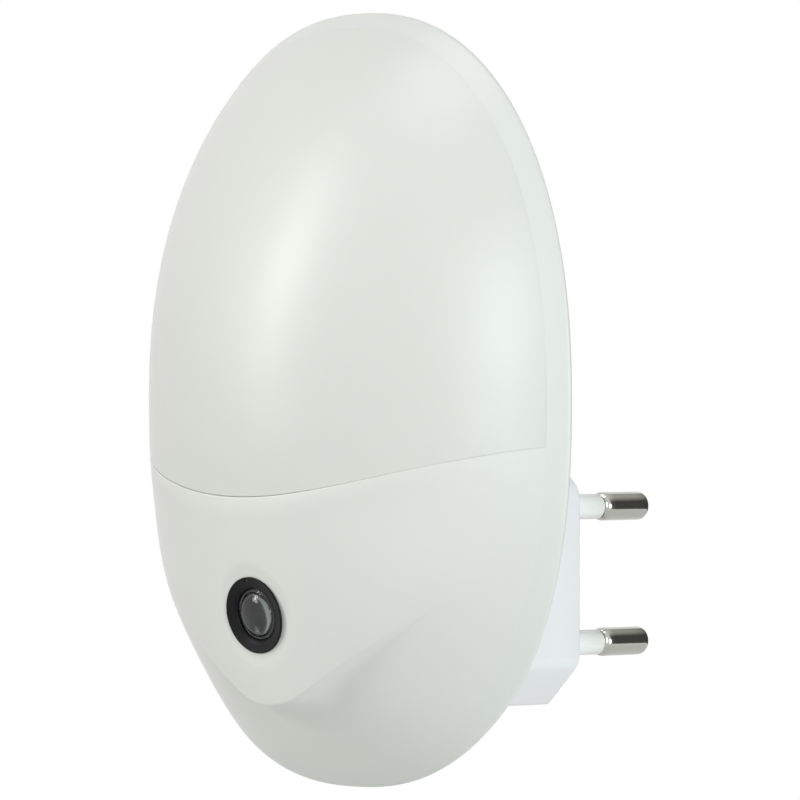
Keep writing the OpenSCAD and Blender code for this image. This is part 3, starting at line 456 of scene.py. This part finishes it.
def hollow(t):
    """Step from 0 to 1 that starts steeply, with a small round, and ends in a long hollow."""
    t = np.clip(t, 0, 1)
    return (1 - (1 - t) ** HOLLOW_POWER) * soft(t / HOLLOW_ROUND) ** 0.5


def bib_edge(angle):
    """Radius of the bib's lower edge round the sensor, at angles from straight down."""
    past = np.abs(angle) - BIB_FLANK
    straight = np.cos(np.clip(past, 0, BIB_LIMIT))
    return np.where(past > BIB_LIMIT, 10 * BIB_RADIUS, BIB_RADIUS / straight)


def cover_proud(x, z):
    """How far the front cover stands out from the plain egg."""
    share = share_at(x, z)
    parting_share = dome_share(-SKIRT)
    from_sensor = np.hypot(x, z - sensor_z)
    full = CHIN_FULL * soft((seam_middle - z) / CHIN_SPREAD)
    full = full * (1 - soft((share - CHIN_FADE) / (parting_share - CHIN_FADE)))
    side = np.maximum(0, 1 - (x / BIB_HALF_WIDTH) ** 2) ** BIB_SIDE_POWER
    angle = np.arctan2(x, sensor_z - z)
    past_edge = from_sensor - bib_edge(angle)
    on_flank = soft((np.abs(angle) - FLANK_START) / FLANK_SPAN)
    inside = 1 - hollow(past_edge / (BIB_STEP + (BIB_FLANK_STEP - BIB_STEP) * on_flank))
    roll = BIB_ROLL * np.clip(1 + past_edge / BIB_ROLL_SPAN, 0, 1) ** 2
    below = seam_z(x) - z
    lip_left = 1 - soft((share - LIP_FADE) / (LIP_END - LIP_FADE))
    lip = LIP_PROUD * (1 - side) * np.exp(-(below / LIP_SPREAD) ** 2) * lip_left
    crest = LIP_PROUD * (side + (1 - side) * lip_left)
    fall = CREST_FALL * crest * np.maximum(0, 1 - below / CREST_SPAN) ** 2
    zero = np.zeros_like(z)
    fallen_back = dome_y(zero, z) - dome_y(zero, zero + seam_middle)
    rise = fallen_back + LIP_PROUD - np.tan(BIB_TILT) * (seam_middle - z)
    dish = DISH_DEPTH * (1 - soft((from_sensor - dish_radius) / DISH_SOFT))
    return full * (1 - side * inside) + np.maximum(0, rise - roll) * side * inside + lip - fall - dish


def cover_height(x, z):
    """Front surface of the front cover."""
    return dome_y(x, z) - cover_proud(x, z)


under = oval(np.linspace(math.pi - corner, 2 * math.pi + corner, COVER_RIM_POINTS), *parting)
edge = np.concatenate([under, seam_edge[::-1]])
along_seam = np.arange(len(edge)) >= len(under)
rolled = rolled_edge(edge, along_seam, LIP_RADIUS, cover_height, COVER_WALL)
sensor_middle = np.array([0.0, sensor_z])
spokes = rolled[0][:, [0, 2]] - sensor_middle
reach = np.linalg.norm(spokes, axis=-1, keepdims=True)
spokes = spokes / reach
bib = np.minimum(bib_edge(np.arctan2(spokes[:, :1], -spokes[:, 1:])), BIB_REACH * reach)
foot = np.minimum(bib + BIB_STEP, bib + FOOT_REACH * (reach - bib))
stops = [np.full_like(reach, r) for r in (sensor_hole, dish_radius, dish_radius + DISH_SOFT)]
stops += [bib, foot, reach]
rings_between = (4, 16, 24, 36, 56)    # from each stop to the next
fan = []
for near, far, count in zip(stops, stops[1:], rings_between):
    fan += [sensor_middle + spokes * (near + (far - near) * k / count) for k in range(count)]
fan.append(sensor_middle + spokes * (reach - RINGS_CLEAR))
front = [surface(p, cover_height) for p in fan]
inner = [surface(p, cover_height) - outward(p, cover_height) * COVER_WALL for p in fan[::-8]]
cover = skin("front_cover_shell", front + rolled + inner, closed=True)
# Opaque ABS from a satin tool: no grain shows, and its highlights are broad and soft.
ivory_abs = moulded("ivory_abs_satin_moulded", "#E3E4DF", 0.38, 0.35, 0.004, scatter=0.1)
finish_piece(cover, ivory_abs, "ivory_housing", "front_cover")

# ---- Rear housing ----
# A shallow dish of the same ABS behind the rim, with three deep wells for the case screws. The plug
# block runs through it, and no opening is cut for it.

REAR_WALL = 2.0
REAR_POINTS = 480              # round each ring
REAR_SLOPE = math.radians(44)  # of the dish at the rim
FLAT_HALF = np.array([10.0, 23.0])     # half of the flat back's width and height
RIM_ROUND = 0.5
RIM_END = 0.02                 # step of the dish at which the rim's round ends
BAND_START = -SKIRT + 0.001    # its front face, close behind the shells
BAND_FACE = (3.0, 1.2, 0.12)   # insets of the rings over that face, the band's wall first
BAND_SIDE = (0.005, 0.3)       # from the front face to the first rings of the band's side
BAND_FOOT = (-0.1, 5.0)        # Y and inset of the ring where the band's inside meets the dish's
WELL_RADIUS = 2.8
WELL_FLOOR = 4.0
WELL_BOSS = 4.4
BOSS_FACE = 2.0
SCREW_HOLE = 1.5
SCREW_DOWN = 11.5              # the upper screw, below the egg's highest point
SCREW_UP = 30.5                # the lower two, above its lowest point
SCREW_ACROSS = 25.5
SCREW_PLACES = ((0, half_height - SCREW_DOWN), (-SCREW_ACROSS, SCREW_UP - half_height),
                (SCREW_ACROSS, SCREW_UP - half_height))
DRUM_POINTS = 64
SHARP_ANGLE = math.radians(35)


def dish_ring(step, inset, angles):
    """Ring of the dish at a step from the rim, 0, to the edge of the flat back, 1."""
    swing = REAR_SLOPE * (1 - step)
    inwards = 1 - math.sin(swing) / math.sin(REAR_SLOPE)
    rise = (math.cos(swing) - math.cos(REAR_SLOPE)) / (1 - math.cos(REAR_SLOPE))
    half = np.array([half_width, half_height]) - inset
    ring = oval(angles, *(half - (half - FLAT_HALF) * inwards))
    return np.stack([ring[:, 0], (REAR_DEPTH - inset) * rise - lean(ring[:, 1]), ring[:, 1]], -1)


def band_ring(y, inset, angles):
    """Ring of the band in front of the rim."""
    ring = oval(angles, half_width * dome_share(y) - inset, half_height * dome_share(y) - inset)
    return np.stack([ring[:, 0], y - lean(ring[:, 1]), ring[:, 1]], -1)


def shrunk(ring, share):
    """A ring drawn in towards the middle of the back."""
    return ring * [share, 1, share]


angles = np.linspace(0, 2 * math.pi, REAR_POINTS + 1)[:-1]
band = [band_ring(BAND_START, inset, angles) for inset in (*BAND_FACE[1:], PARTING_RADIUS)]
band += [band_ring(BAND_START + PARTING_RADIUS * (1 - math.cos(t)), PARTING_RADIUS * (1 - math.sin(t)),
                   angles) for t in np.linspace(0, math.pi / 2, 5)[1:]]
band.append(band_ring(BAND_START + BAND_SIDE[0], 0, angles))
band += [band_ring(y, 0, angles) for y in np.linspace(-SKIRT + BAND_SIDE[1], -RIM_ROUND, 8)]
# A round takes the band's side over the rim to the dish.
before, crest, after = band[-1], band_ring(0, 0, angles), dish_ring(RIM_END, 0, angles)
band += [before * (1 - t) ** 2 + crest * 2 * t * (1 - t) + after * t ** 2 for t in (0.2, 0.4, 0.6, 0.8)]
dish = [dish_ring(step, 0, angles) for step in np.linspace(RIM_END, 1, 60)]
flat = [shrunk(dish[-1], share) for share in np.linspace(0.95, 0.05, 16)]
inside = [shrunk(dish_ring(1, REAR_WALL, angles), share) for share in (0.05, 1)]
inside += [dish_ring(step, REAR_WALL, angles) for step in np.linspace(0.96, 0.14, 22)]
inside += [band_ring(*BAND_FOOT, angles), band_ring(BAND_START, BAND_FACE[0], angles)]
back_middle = np.array([0, REAR_DEPTH, 0])
housing = skin("rear_housing_shell", (band + dish + flat)[::-1] + inside[::-1],
               (back_middle, back_middle - [0, REAR_WALL, 0]))


def rear_y(x, z):
    """Depth of the dish over a point, found by halving between the rim and the flat back."""
    low, high = 0.0, 1.0
    for _ in range(30):
        step = (low + high) / 2
        inwards = 1 - math.sin(REAR_SLOPE * (1 - step)) / math.sin(REAR_SLOPE)
        half = np.array([half_width, half_height]) * (1 - inwards) + FLAT_HALF * inwards
        power = OUTLINE_LOW_POWER if z < 0 else OUTLINE_POWER
        outside = abs(x / half[0]) ** power + abs(z / half[1]) ** power > 1
        low, high = (low, step) if outside else (step, high)
    rise = (math.cos(REAR_SLOPE * (1 - step)) - math.cos(REAR_SLOPE)) / (1 - math.cos(REAR_SLOPE))
    return REAR_DEPTH * rise - lean(z)


def drum(radius, x, z, start, end=None):
    """A cylinder along Y; one without an end stops inside the dish's wall."""
    turn = np.linspace(0, 2 * math.pi, DRUM_POINTS + 1)[:-1]
    ring = np.stack([x + radius * np.cos(turn), np.full(DRUM_POINTS, start), z + radius * np.sin(turn)], -1)
    last = ring.copy()
    last[:, 1] = [rear_y(a, b) - REAR_WALL / 2 for a, _, b in ring] if end is None else end
    return skin("tool", [ring, last], (ring.mean(0), last.mean(0)))


def carve(piece, tool, operation):
    """Adds a tool body to a piece, or cuts it out, and drops the tool."""
    modifier = piece.modifiers.new("carve", "BOOLEAN")
    modifier.operation, modifier.object, modifier.solver = operation, tool, "EXACT"
    shape = bpy.data.meshes.new_from_object(piece.evaluated_get(bpy.context.evaluated_depsgraph_get()))
    piece.modifiers.clear()
    piece.data = shape
    bpy.data.objects.remove(tool)


for x, z in SCREW_PLACES:
    carve(housing, drum(WELL_BOSS, x, z, BOSS_FACE), "UNION")
for x, z in SCREW_PLACES:
    carve(housing, drum(WELL_RADIUS, x, z, WELL_FLOOR, REAR_DEPTH + 2), "DIFFERENCE")
    carve(housing, drum(SCREW_HOLE, x, z, 0, WELL_FLOOR + 1), "DIFFERENCE")
housing.data.shade_smooth()
housing.data.set_sharp_from_angle(angle=SHARP_ANGLE)
# The cover's ABS and tool finish, a shade darker.
white_abs = moulded("white_abs_satin_moulded", "#E1E3DF", 0.38, 0.35, 0.004, scatter=0.1)
finish_piece(housing, white_abs, "white_housing", "rear_housing")

# ---- Plug block ----
# A flat six-sided block of white polycarbonate that comes through the dish and carries both pins.
# It is moulded with rounded corners, and its face closes against the socket.

PLUG_WIDTH = 13.6
PLUG_SIDE = 24.2               # height of its flat sides
PLUG_HEIGHT = 35.8
PLUG_TIP = 1.6                 # width of its flat top and bottom
PLUG_SIDE_CORNER = 3.0
PLUG_CORNER = 1.2
PLUG_EDGE = 0.6                # round of its face's edge
PLUG_START = 5.0               # where it starts, inside the dish
plug_middle = np.array([0.0, -egg_origin[2]])
face_y = -egg_origin[1]


def rounded_outline(corners, radii, count=8):
    """A polygon with its corners rounded, as points in order."""
    points = []
    corners = [np.array(c, float) for c in corners]
    for k, (at, radius) in enumerate(zip(corners, radii)):
        before, after = corners[k - 1] - at, corners[(k + 1) % len(corners)] - at
        before, after = before / np.linalg.norm(before), after / np.linalg.norm(after)
        half = math.acos(np.dot(before, after)) / 2
        centre = at + (before + after) / np.linalg.norm(before + after) * radius / math.sin(half)
        start, end = at + before * radius / math.tan(half), at + after * radius / math.tan(half)
        from_angle = math.atan2(*(start - centre)[::-1])
        sweep = (math.atan2(*(end - centre)[::-1]) - from_angle + math.pi) % (2 * math.pi) - math.pi
        points += [centre + radius * np.array([math.cos(from_angle + sweep * i / count),
                                               math.sin(from_angle + sweep * i / count)])
                   for i in range(count + 1)]
    return np.array(points)


def inset_edge(edge, distance):
    """A closed outline moved inwards by a distance, in the XZ plane."""
    along = np.roll(edge, -1, 0) - np.roll(edge, 1, 0)
    inwards = np.stack([-along[:, 1], along[:, 0]], -1)
    inwards /= np.linalg.norm(inwards, axis=-1, keepdims=True)
    inwards *= np.sign(np.sum(inwards * (edge.mean(0) - edge), -1, keepdims=True))
    return edge + inwards * distance


def plug_ring(inset, y):
    """Ring of the plug block's outline, moved inwards."""
    w, side, top, tip = PLUG_WIDTH / 2, PLUG_SIDE / 2, PLUG_HEIGHT / 2, PLUG_TIP / 2
    outline = rounded_outline([(w, -side), (w, side), (tip, top), (-tip, top), (-w, side), (-w, -side),
                               (-tip, -top), (tip, -top)],
                              [PLUG_SIDE_CORNER, PLUG_SIDE_CORNER, PLUG_CORNER, PLUG_CORNER] * 2)
    if inset:
        outline = inset_edge(outline, inset)
    outline = outline + plug_middle
    return np.stack([outline[:, 0], np.full(len(outline), y), outline[:, 1]], -1)


block = [plug_ring(0, y) for y in np.linspace(PLUG_START, face_y - PLUG_EDGE, 12)[:-1]]
block += [plug_ring(PLUG_EDGE * (1 - math.cos(t)), face_y - PLUG_EDGE * (1 - math.sin(t)))
          for t in QUARTER_TURN]
plug_centre = np.array([plug_middle[0], face_y, plug_middle[1]])
block += [plug_centre + (plug_ring(PLUG_EDGE, face_y) - plug_centre) * t for t in (0.7, 0.4, 0.1)]
plug = skin("plug_block", block, (plug_centre + [0, PLUG_START - face_y, 0], plug_centre))
# Polycarbonate from a finer tool: cooler in colour and a little glossier than the shells.
white_polycarbonate = moulded("white_polycarbonate_moulded", "#EFF0F2", 0.3, 0.35, 0.002)
finish_piece(plug, white_polycarbonate, "white_plug", "plug_body")

# ---- Pins and sleeves ----
# Two pins, turned from brass and bright nickel plated, each with a moulded white sleeve over the half
# next to the plug block. Their heads are held inside the block, and their bare halves make contact.

PIN_PITCH = 19.0
PIN_RADIUS = 2.0
PIN_LENGTH = 19.0
PIN_ROOT = -1.0                # where it starts, inside the plug block
PIN_NECK = 1.25                # radius inside the sleeve
PIN_CONE = 0.85                # length over which it widens beyond the sleeve
PIN_TIP = 1.0                  # round of its tip
PIN_FLAT = 0.4                 # radius of the innermost ring on its flat end
CONE_ROUND = ((0.05, -0.08), (0.0, 0.1))    # inwards and along, from the end of the cone
SIDE_RINGS = (12.0, 14.0, 16.0)    # along its bare side
SLEEVE_RADIUS = 1.75
SLEEVE_BORE = 1.26
SLEEVE_LENGTH = 10.0
SLEEVE_SHORT = 0.02            # how far it stops short of the pin's cone
SLEEVE_CHAMFER = (0.1, 0.15)   # inwards and along
TURNING_MM = 1.57              # pitch of the turning marks, drawn far coarser than real ones, to show
TURNING_HEIGHT = 0.004
WAVE_PERIOD = math.pi / 10     # of the wave texture at scale 1


def turned(name, profile, origin, axis, around=96):
    """A solid of revolution: its profile is radius and distance along the axis, in millimetres."""
    axis = np.asarray(axis, float) / np.linalg.norm(axis)
    helper = np.array([1.0, 0, 0]) if abs(axis[0]) < 0.9 else np.array([0, 0, 1.0])
    u = np.cross(axis, helper)
    u /= np.linalg.norm(u)
    v = np.cross(axis, u)
    turn = np.linspace(0, 2 * math.pi, around + 1)[:-1, None]
    rings = [origin + axis * d + r * (np.cos(turn) * u + np.sin(turn) * v) for r, d in profile if r > 0]
    poles = [origin + axis * profile[k][1] if profile[k][0] == 0 else None for k in (0, -1)]
    return skin(name, rings, poles, closed=poles[0] is None)


def rounded_tip(radius, end, round_off, count=8):
    """Profile of a rounded end: from the side of a pin to its flat tip."""
    return [(radius - round_off + round_off * math.cos(t), end - round_off + round_off * math.sin(t))
            for t in np.linspace(0, math.pi / 2, count)]


def nickel_plate():
    """Bright nickel over turned brass: a soft mirror, slightly warm, with faint rings round it."""
    material, tree = new_material("bright_nickel_on_turned_brass")
    where = add(tree, "TexCoord").outputs["Object"]
    turning = add(tree, "TexWave", {"wave_type": "BANDS", "bands_direction": "Y"}, {"Vector": where},
                  Scale=WAVE_PERIOD / (TURNING_MM * MM), Distortion=2.0, Detail=2.0)
    bump = add(tree, "Bump", links={"Height": turning.outputs["Fac"]},
               Strength=0.3, Distance=TURNING_HEIGHT * MM)
    metal = add(tree, "BsdfPrincipled", links={"Normal": bump.outputs[0]},
                Base_Color=linear("#BBBCB5"), Metallic=1.0, Roughness=0.14)
    add(tree, "OutputMaterial", links={"Surface": metal.outputs[0]})
    return material


bright_nickel = nickel_plate()
# Moulded over the pin in the whitest plastic of all, with a low sheen.
white_sleeving = moulded("white_sleeve_moulded", "#F6F7F4", 0.35, 0.3, 0.002)
pin_profile = [(0, PIN_ROOT), (PIN_NECK, PIN_ROOT), (PIN_NECK, SLEEVE_LENGTH),
               (SLEEVE_RADIUS - SLEEVE_SHORT, SLEEVE_LENGTH)]
pin_profile += [(PIN_RADIUS - inwards, SLEEVE_LENGTH + PIN_CONE + along) for inwards, along in CONE_ROUND]
pin_profile += [(PIN_RADIUS, y) for y in SIDE_RINGS] + rounded_tip(PIN_RADIUS, PIN_LENGTH, PIN_TIP)
pin_profile += [(PIN_FLAT, PIN_LENGTH), (0, PIN_LENGTH)]
sleeve_end = SLEEVE_LENGTH - SLEEVE_SHORT
sleeve_profile = [(SLEEVE_BORE, PIN_ROOT), (SLEEVE_RADIUS, PIN_ROOT), (SLEEVE_RADIUS, SLEEVE_LENGTH / 2),
                  (SLEEVE_RADIUS, SLEEVE_LENGTH - SLEEVE_CHAMFER[1]),
                  (SLEEVE_RADIUS - SLEEVE_CHAMFER[0], sleeve_end), (SLEEVE_BORE, sleeve_end)]
for name, side in (("upper_pin", 1), ("lower_pin", -1)):
    foot_of_pin = np.array([0.0, face_y, plug_middle[1] + side * PIN_PITCH / 2])
    metal = turned(name + "_metal", pin_profile, foot_of_pin, (0, 1, 0))
    finish_piece(metal, bright_nickel, "nickel_plate", name)
    sleeve = turned(name + "_sleeve_tube", sleeve_profile, foot_of_pin, (0, 1, 0))
    finish_piece(sleeve, white_sleeving, "white_sleeve", name + "_sleeve")

# ---- Dusk sensor ----
# A black ABS bezel pressed into the bib holds a clear acrylic window with a domed front. Behind it,
# a black cup holds the light cell.

LENS_RADIUS = 3.5
LENS_THICK = 1.2         # of its flange, from front to back
LENS_ROUND = 0.15
LENS_SINK = 0.55         # of its flange's front, below the bib's surface
LENS_BACK_RING = 1.5
LENS_FLANGE = 3.1        # radius at which its shoulder starts
LENS_SHOULDER = 1.9      # the shoulder's own radius, and its surface's tilts at its two ends
SHOULDER_TILTS = np.radians((13.0, 55.0))
SHOULDER_FOOT = (0.06, 0.02)    # outwards and down, from where the shoulder starts
BEZEL_BORE = LENS_RADIUS + 0.05
BEZEL_DEPTH = 6.0
BEZEL_RISE = 0.12        # of its outer edge, above the bib's surface
BEZEL_FALL = 0.26        # how far its face falls towards the window
BEZEL_ROUND = 0.1
BEZEL_CORNER = 0.03
BEZEL_RINGS = (0.13, 0.17, 0.3, 0.4, 0.5, 0.6, 0.64, 0.68, 0.9)    # over its face, from its outer edge
BEZEL_LAST_RING = 0.06   # from its face's inner edge
BEZEL_FLARE = 0.45       # width of the slope from its face down to the window
FLARE_ROUND = (0.04, 0.05)      # inwards and down, at the slope's upper end
FLARE_FOOT = ((0.03, 0.15), (0.0, 0.08))    # outwards from the bore and up from the flange
PIT_WIDTH = 0.5          # a small pit in the face, left by the tool
PIT_X = -0.6
PIT_RIM = 0.15
PIT_DEEP = 0.25
bib_normal = np.array([0, -math.cos(BIB_TILT), -math.sin(BIB_TILT)])
bib_y = dome_y(0.0, seam_middle) - LIP_PROUD + math.tan(BIB_TILT) * (seam_middle - sensor_z)
sensor_origin = np.array([0.0, float(bib_y), sensor_z])

outer = BEZEL_WIDTH / 2
face_outer, face_inner = outer - BEZEL_ROUND, BEZEL_BORE + BEZEL_FLARE
round_middle = BEZEL_RISE - BEZEL_ROUND
profile = [(BEZEL_BORE, -BEZEL_DEPTH), (BEZEL_TUBE / 2, -BEZEL_DEPTH), (BEZEL_TUBE / 2, -DISH_DEPTH),
           (outer - BEZEL_CORNER, -DISH_DEPTH), (outer, -DISH_DEPTH + BEZEL_CORNER), (outer, round_middle)]
profile += [(face_outer + BEZEL_ROUND * math.cos(t), round_middle + BEZEL_ROUND * math.sin(t))
            for t in (0.5, 1.0, math.pi / 2)]
face = [(r, BEZEL_RISE - BEZEL_FALL * (face_outer - r) / (face_outer - face_inner))
        for r in (*(outer - inset for inset in BEZEL_RINGS), face_inner + BEZEL_LAST_RING, face_inner)]
profile += face + [(face_inner - FLARE_ROUND[0], face[-1][1] - FLARE_ROUND[1])]
profile += [(BEZEL_BORE + outwards, up - LENS_SINK) for outwards, up in FLARE_FOOT]
bezel = turned("sensor_bezel_ring", profile, sensor_origin, bib_normal, 160)
bib_up = np.array([0, -math.sin(BIB_TILT), math.cos(BIB_TILT)])
for vertex in bezel.data.vertices:
    offset = np.array(vertex.co) / MM - egg_origin - sensor_origin
    across_pit = abs(offset[0] - PIT_X) < PIT_WIDTH / 2
    along_pit = PIT_RIM < outer - offset @ bib_up < PIT_RIM + PIT_WIDTH
    on_face = offset @ bib_normal > -DISH_DEPTH / 2
    if across_pit and along_pit and on_face:
        vertex.co -= Vector(bib_normal) * PIT_DEEP * MM
# Black ABS from a fine satin tool: deep black, with only weak, broad highlights.
black_abs = moulded("black_abs_satin_moulded", "#0F0F10", 0.38, 0.5, 0.003, specular=0.15)
finish_piece(bezel, black_abs, "black_gloss", "sensor_bezel")

low_tilt, high_tilt = SHOULDER_TILTS
dome_r = (LENS_FLANGE - LENS_SHOULDER * (math.sin(high_tilt) - math.sin(low_tilt))) / math.sin(low_tilt)
shoulder_rise = LENS_SHOULDER * (math.cos(low_tilt) - math.cos(high_tilt))
cap = [(dome_r * math.sin(low_tilt) + LENS_SHOULDER * (math.sin(t) - math.sin(low_tilt)),
        LENS_SHOULDER * (math.cos(t) - math.cos(high_tilt)) - LENS_SINK)
       for t in np.linspace(high_tilt, low_tilt, 14)]
cap += [(dome_r * math.sin(t), shoulder_rise + dome_r * (math.cos(t) - math.cos(low_tilt)) - LENS_SINK)
        for t in np.linspace(low_tilt, 0.01, 12)[1:]]
cap.append((0, shoulder_rise + dome_r * (1 - math.cos(low_tilt)) - LENS_SINK))
rear_face = -LENS_SINK - LENS_THICK
flange_r, flange_z = LENS_RADIUS - LENS_ROUND, -LENS_SINK - LENS_ROUND
profile = [(0, rear_face), (LENS_BACK_RING, rear_face), (flange_r, rear_face),
           (LENS_RADIUS, rear_face + LENS_ROUND), (LENS_RADIUS, flange_z)]
profile += [(flange_r + LENS_ROUND * math.cos(t), flange_z + LENS_ROUND * math.sin(t))
            for t in (0.5, 1.0, 1.5)]
profile += [(LENS_FLANGE + SHOULDER_FOOT[0], -LENS_SINK - SHOULDER_FOOT[1])] + cap
lens = turned("sensor_window", profile, sensor_origin, bib_normal, 128)


def clear_acrylic():
    """Acrylic from a polished tool, with small sharp highlights. Its grey tint is painted shade that dims the
    view of the cell.
    """
    material, tree = new_material("clear_acrylic_moulded")
    # Painted shade: the grey base colour darkens what shows through the window.
    glass = add(tree, "BsdfPrincipled", Base_Color=linear("#868B8B"), Roughness=0.03, IOR=1.49,
                Transmission_Weight=1.0, Specular_IOR_Level=0.35)
    add(tree, "OutputMaterial", links={"Surface": glass.outputs[0]})
    return material


finish_piece(lens, clear_acrylic(), "clear_window", "sensor_lens")

# ---- Pin retainer and sensor cup ----
# Closed in behind the plug's face and the sensor's window: glass-filled nylon, moulded black and matt,
# so that no light from the LEDs reaches the cell.


def dress(node, material):
    """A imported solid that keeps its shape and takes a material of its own."""
    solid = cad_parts[node].data
    solid.materials.clear()
    solid.materials.append(material)


dress("pin_retainer", moulded("black_glass_filled_nylon", "#2A2A2C", 0.55, 0.4, 0.008))
dress("sensor_cup", moulded("black_matt_nylon", "#161617", 0.6, 0.4, 0.008, specular=0.1))
dress("light_sensor", moulded("photocell_under_clear_lacquer", "#2B2825", 0.3, 0.5, 0.003))

# ---- Contacts and screws ----
# Brass strips, stamped and left bright, from the pins to the driver board, and zinc-plated steel
# self-tapping screws, slightly blue.

METAL_SPREAD = 0.06            # how far a metal's roughness varies with its marks
MARK_HEIGHT = 0.003


def metal_sheet(name, colour, roughness, mark_mm):
    """Bare or plated metal with fine marks of rolling or thread rolling."""
    material, tree = new_material(name)
    where = add(tree, "TexCoord").outputs["Object"]
    marks = add(tree, "TexNoise", links={"Vector": where}, Scale=1 / (mark_mm * MM), Detail=4.0)
    shine = add(tree, "MapRange", links={"Value": marks.outputs["Fac"]},
                To_Min=roughness - METAL_SPREAD, To_Max=roughness + METAL_SPREAD)
    bump = add(tree, "Bump", links={"Height": marks.outputs["Fac"]}, Strength=0.4, Distance=MARK_HEIGHT * MM)
    metal = add(tree, "BsdfPrincipled", links={"Normal": bump.outputs[0], "Roughness": shine.outputs[0]},
                Base_Color=linear(colour), Metallic=1.0)
    add(tree, "OutputMaterial", links={"Surface": metal.outputs[0]})
    return material


rolled_brass = metal_sheet("rolled_brass_strip", "#C9A85A", 0.28, 0.6)
zinc_steel = metal_sheet("zinc_plated_steel", "#B4B8BC", 0.32, 0.4)
for node in ("upper_contact", "lower_contact"):
    dress(node, rolled_brass)
for node in ("case_screws", "board_screws", "plug_screws"):
    dress(node, zinc_steel)

# ---- Circuit boards and reflector ----
# The driver board is phenolic paper, pressed and punched, the LED board white-masked glass fibre. The
# reflector in front of it is white polypropylene.

dress("driver_board", moulded("phenolic_paper_board", "#B98B4E", 0.5, 1.2, 0.01))
dress("led_board", moulded("white_solder_mask_on_glass_fibre", "#E9ECE6", 0.25, 0.6, 0.004))
dress("reflector", moulded("white_polypropylene_moulded", "#EDEDE8", 0.42, 0.5, 0.004, scatter=0.1))

# ---- What the boards carry ----
# Capacitors, resistors, a zener diode, a bridge and a transistor, each in its usual lacquer, sleeve or
# moulded body, the four LEDs in milky epoxy, and PVC-covered wires.

dress("dropper_capacitor", moulded("red_epoxy_dipped_film", "#B5462F", 0.25, 1.5, 0.02))
dress("smoothing_capacitor", moulded("blue_heat_shrunk_sleeve", "#2B3A66", 0.3, 1.0, 0.004))
dress("bridge_rectifier", moulded("black_moulded_epoxy_bridge", "#2A2A2C", 0.5, 0.3, 0.006))
dress("transistor", moulded("black_moulded_epoxy_case", "#29292B", 0.5, 0.3, 0.006))
dress("fusible_resistor", moulded("blue_grey_cement_lacquer", "#8FA7B5", 0.45, 0.8, 0.008))
dress("discharge_resistor", moulded("tan_lacquer", "#C9A46B", 0.35, 0.8, 0.004))
dress("current_resistor", moulded("green_lacquer", "#B9C4A0", 0.35, 0.8, 0.004))
dress("zener_diode", moulded("orange_glass_case", "#C4622D", 0.12, 2.0, 0.001))
milky_epoxy = moulded("milky_led_epoxy", "#F3EFD2", 0.12, 2.0, 0.001, scatter=0.5)
for node in ("led_1", "led_2", "led_3", "led_4"):
    dress(node, milky_epoxy)
dress("sensor_leads", moulded("red_pvc_lead", "#9A3A34", 0.4, 0.5, 0.003))
dress("led_wire_live", moulded("red_pvc_wire", "#B3392F", 0.4, 0.5, 0.003))
dress("led_wire_return", moulded("black_pvc_wire", "#2B2B2D", 0.4, 0.5, 0.003))
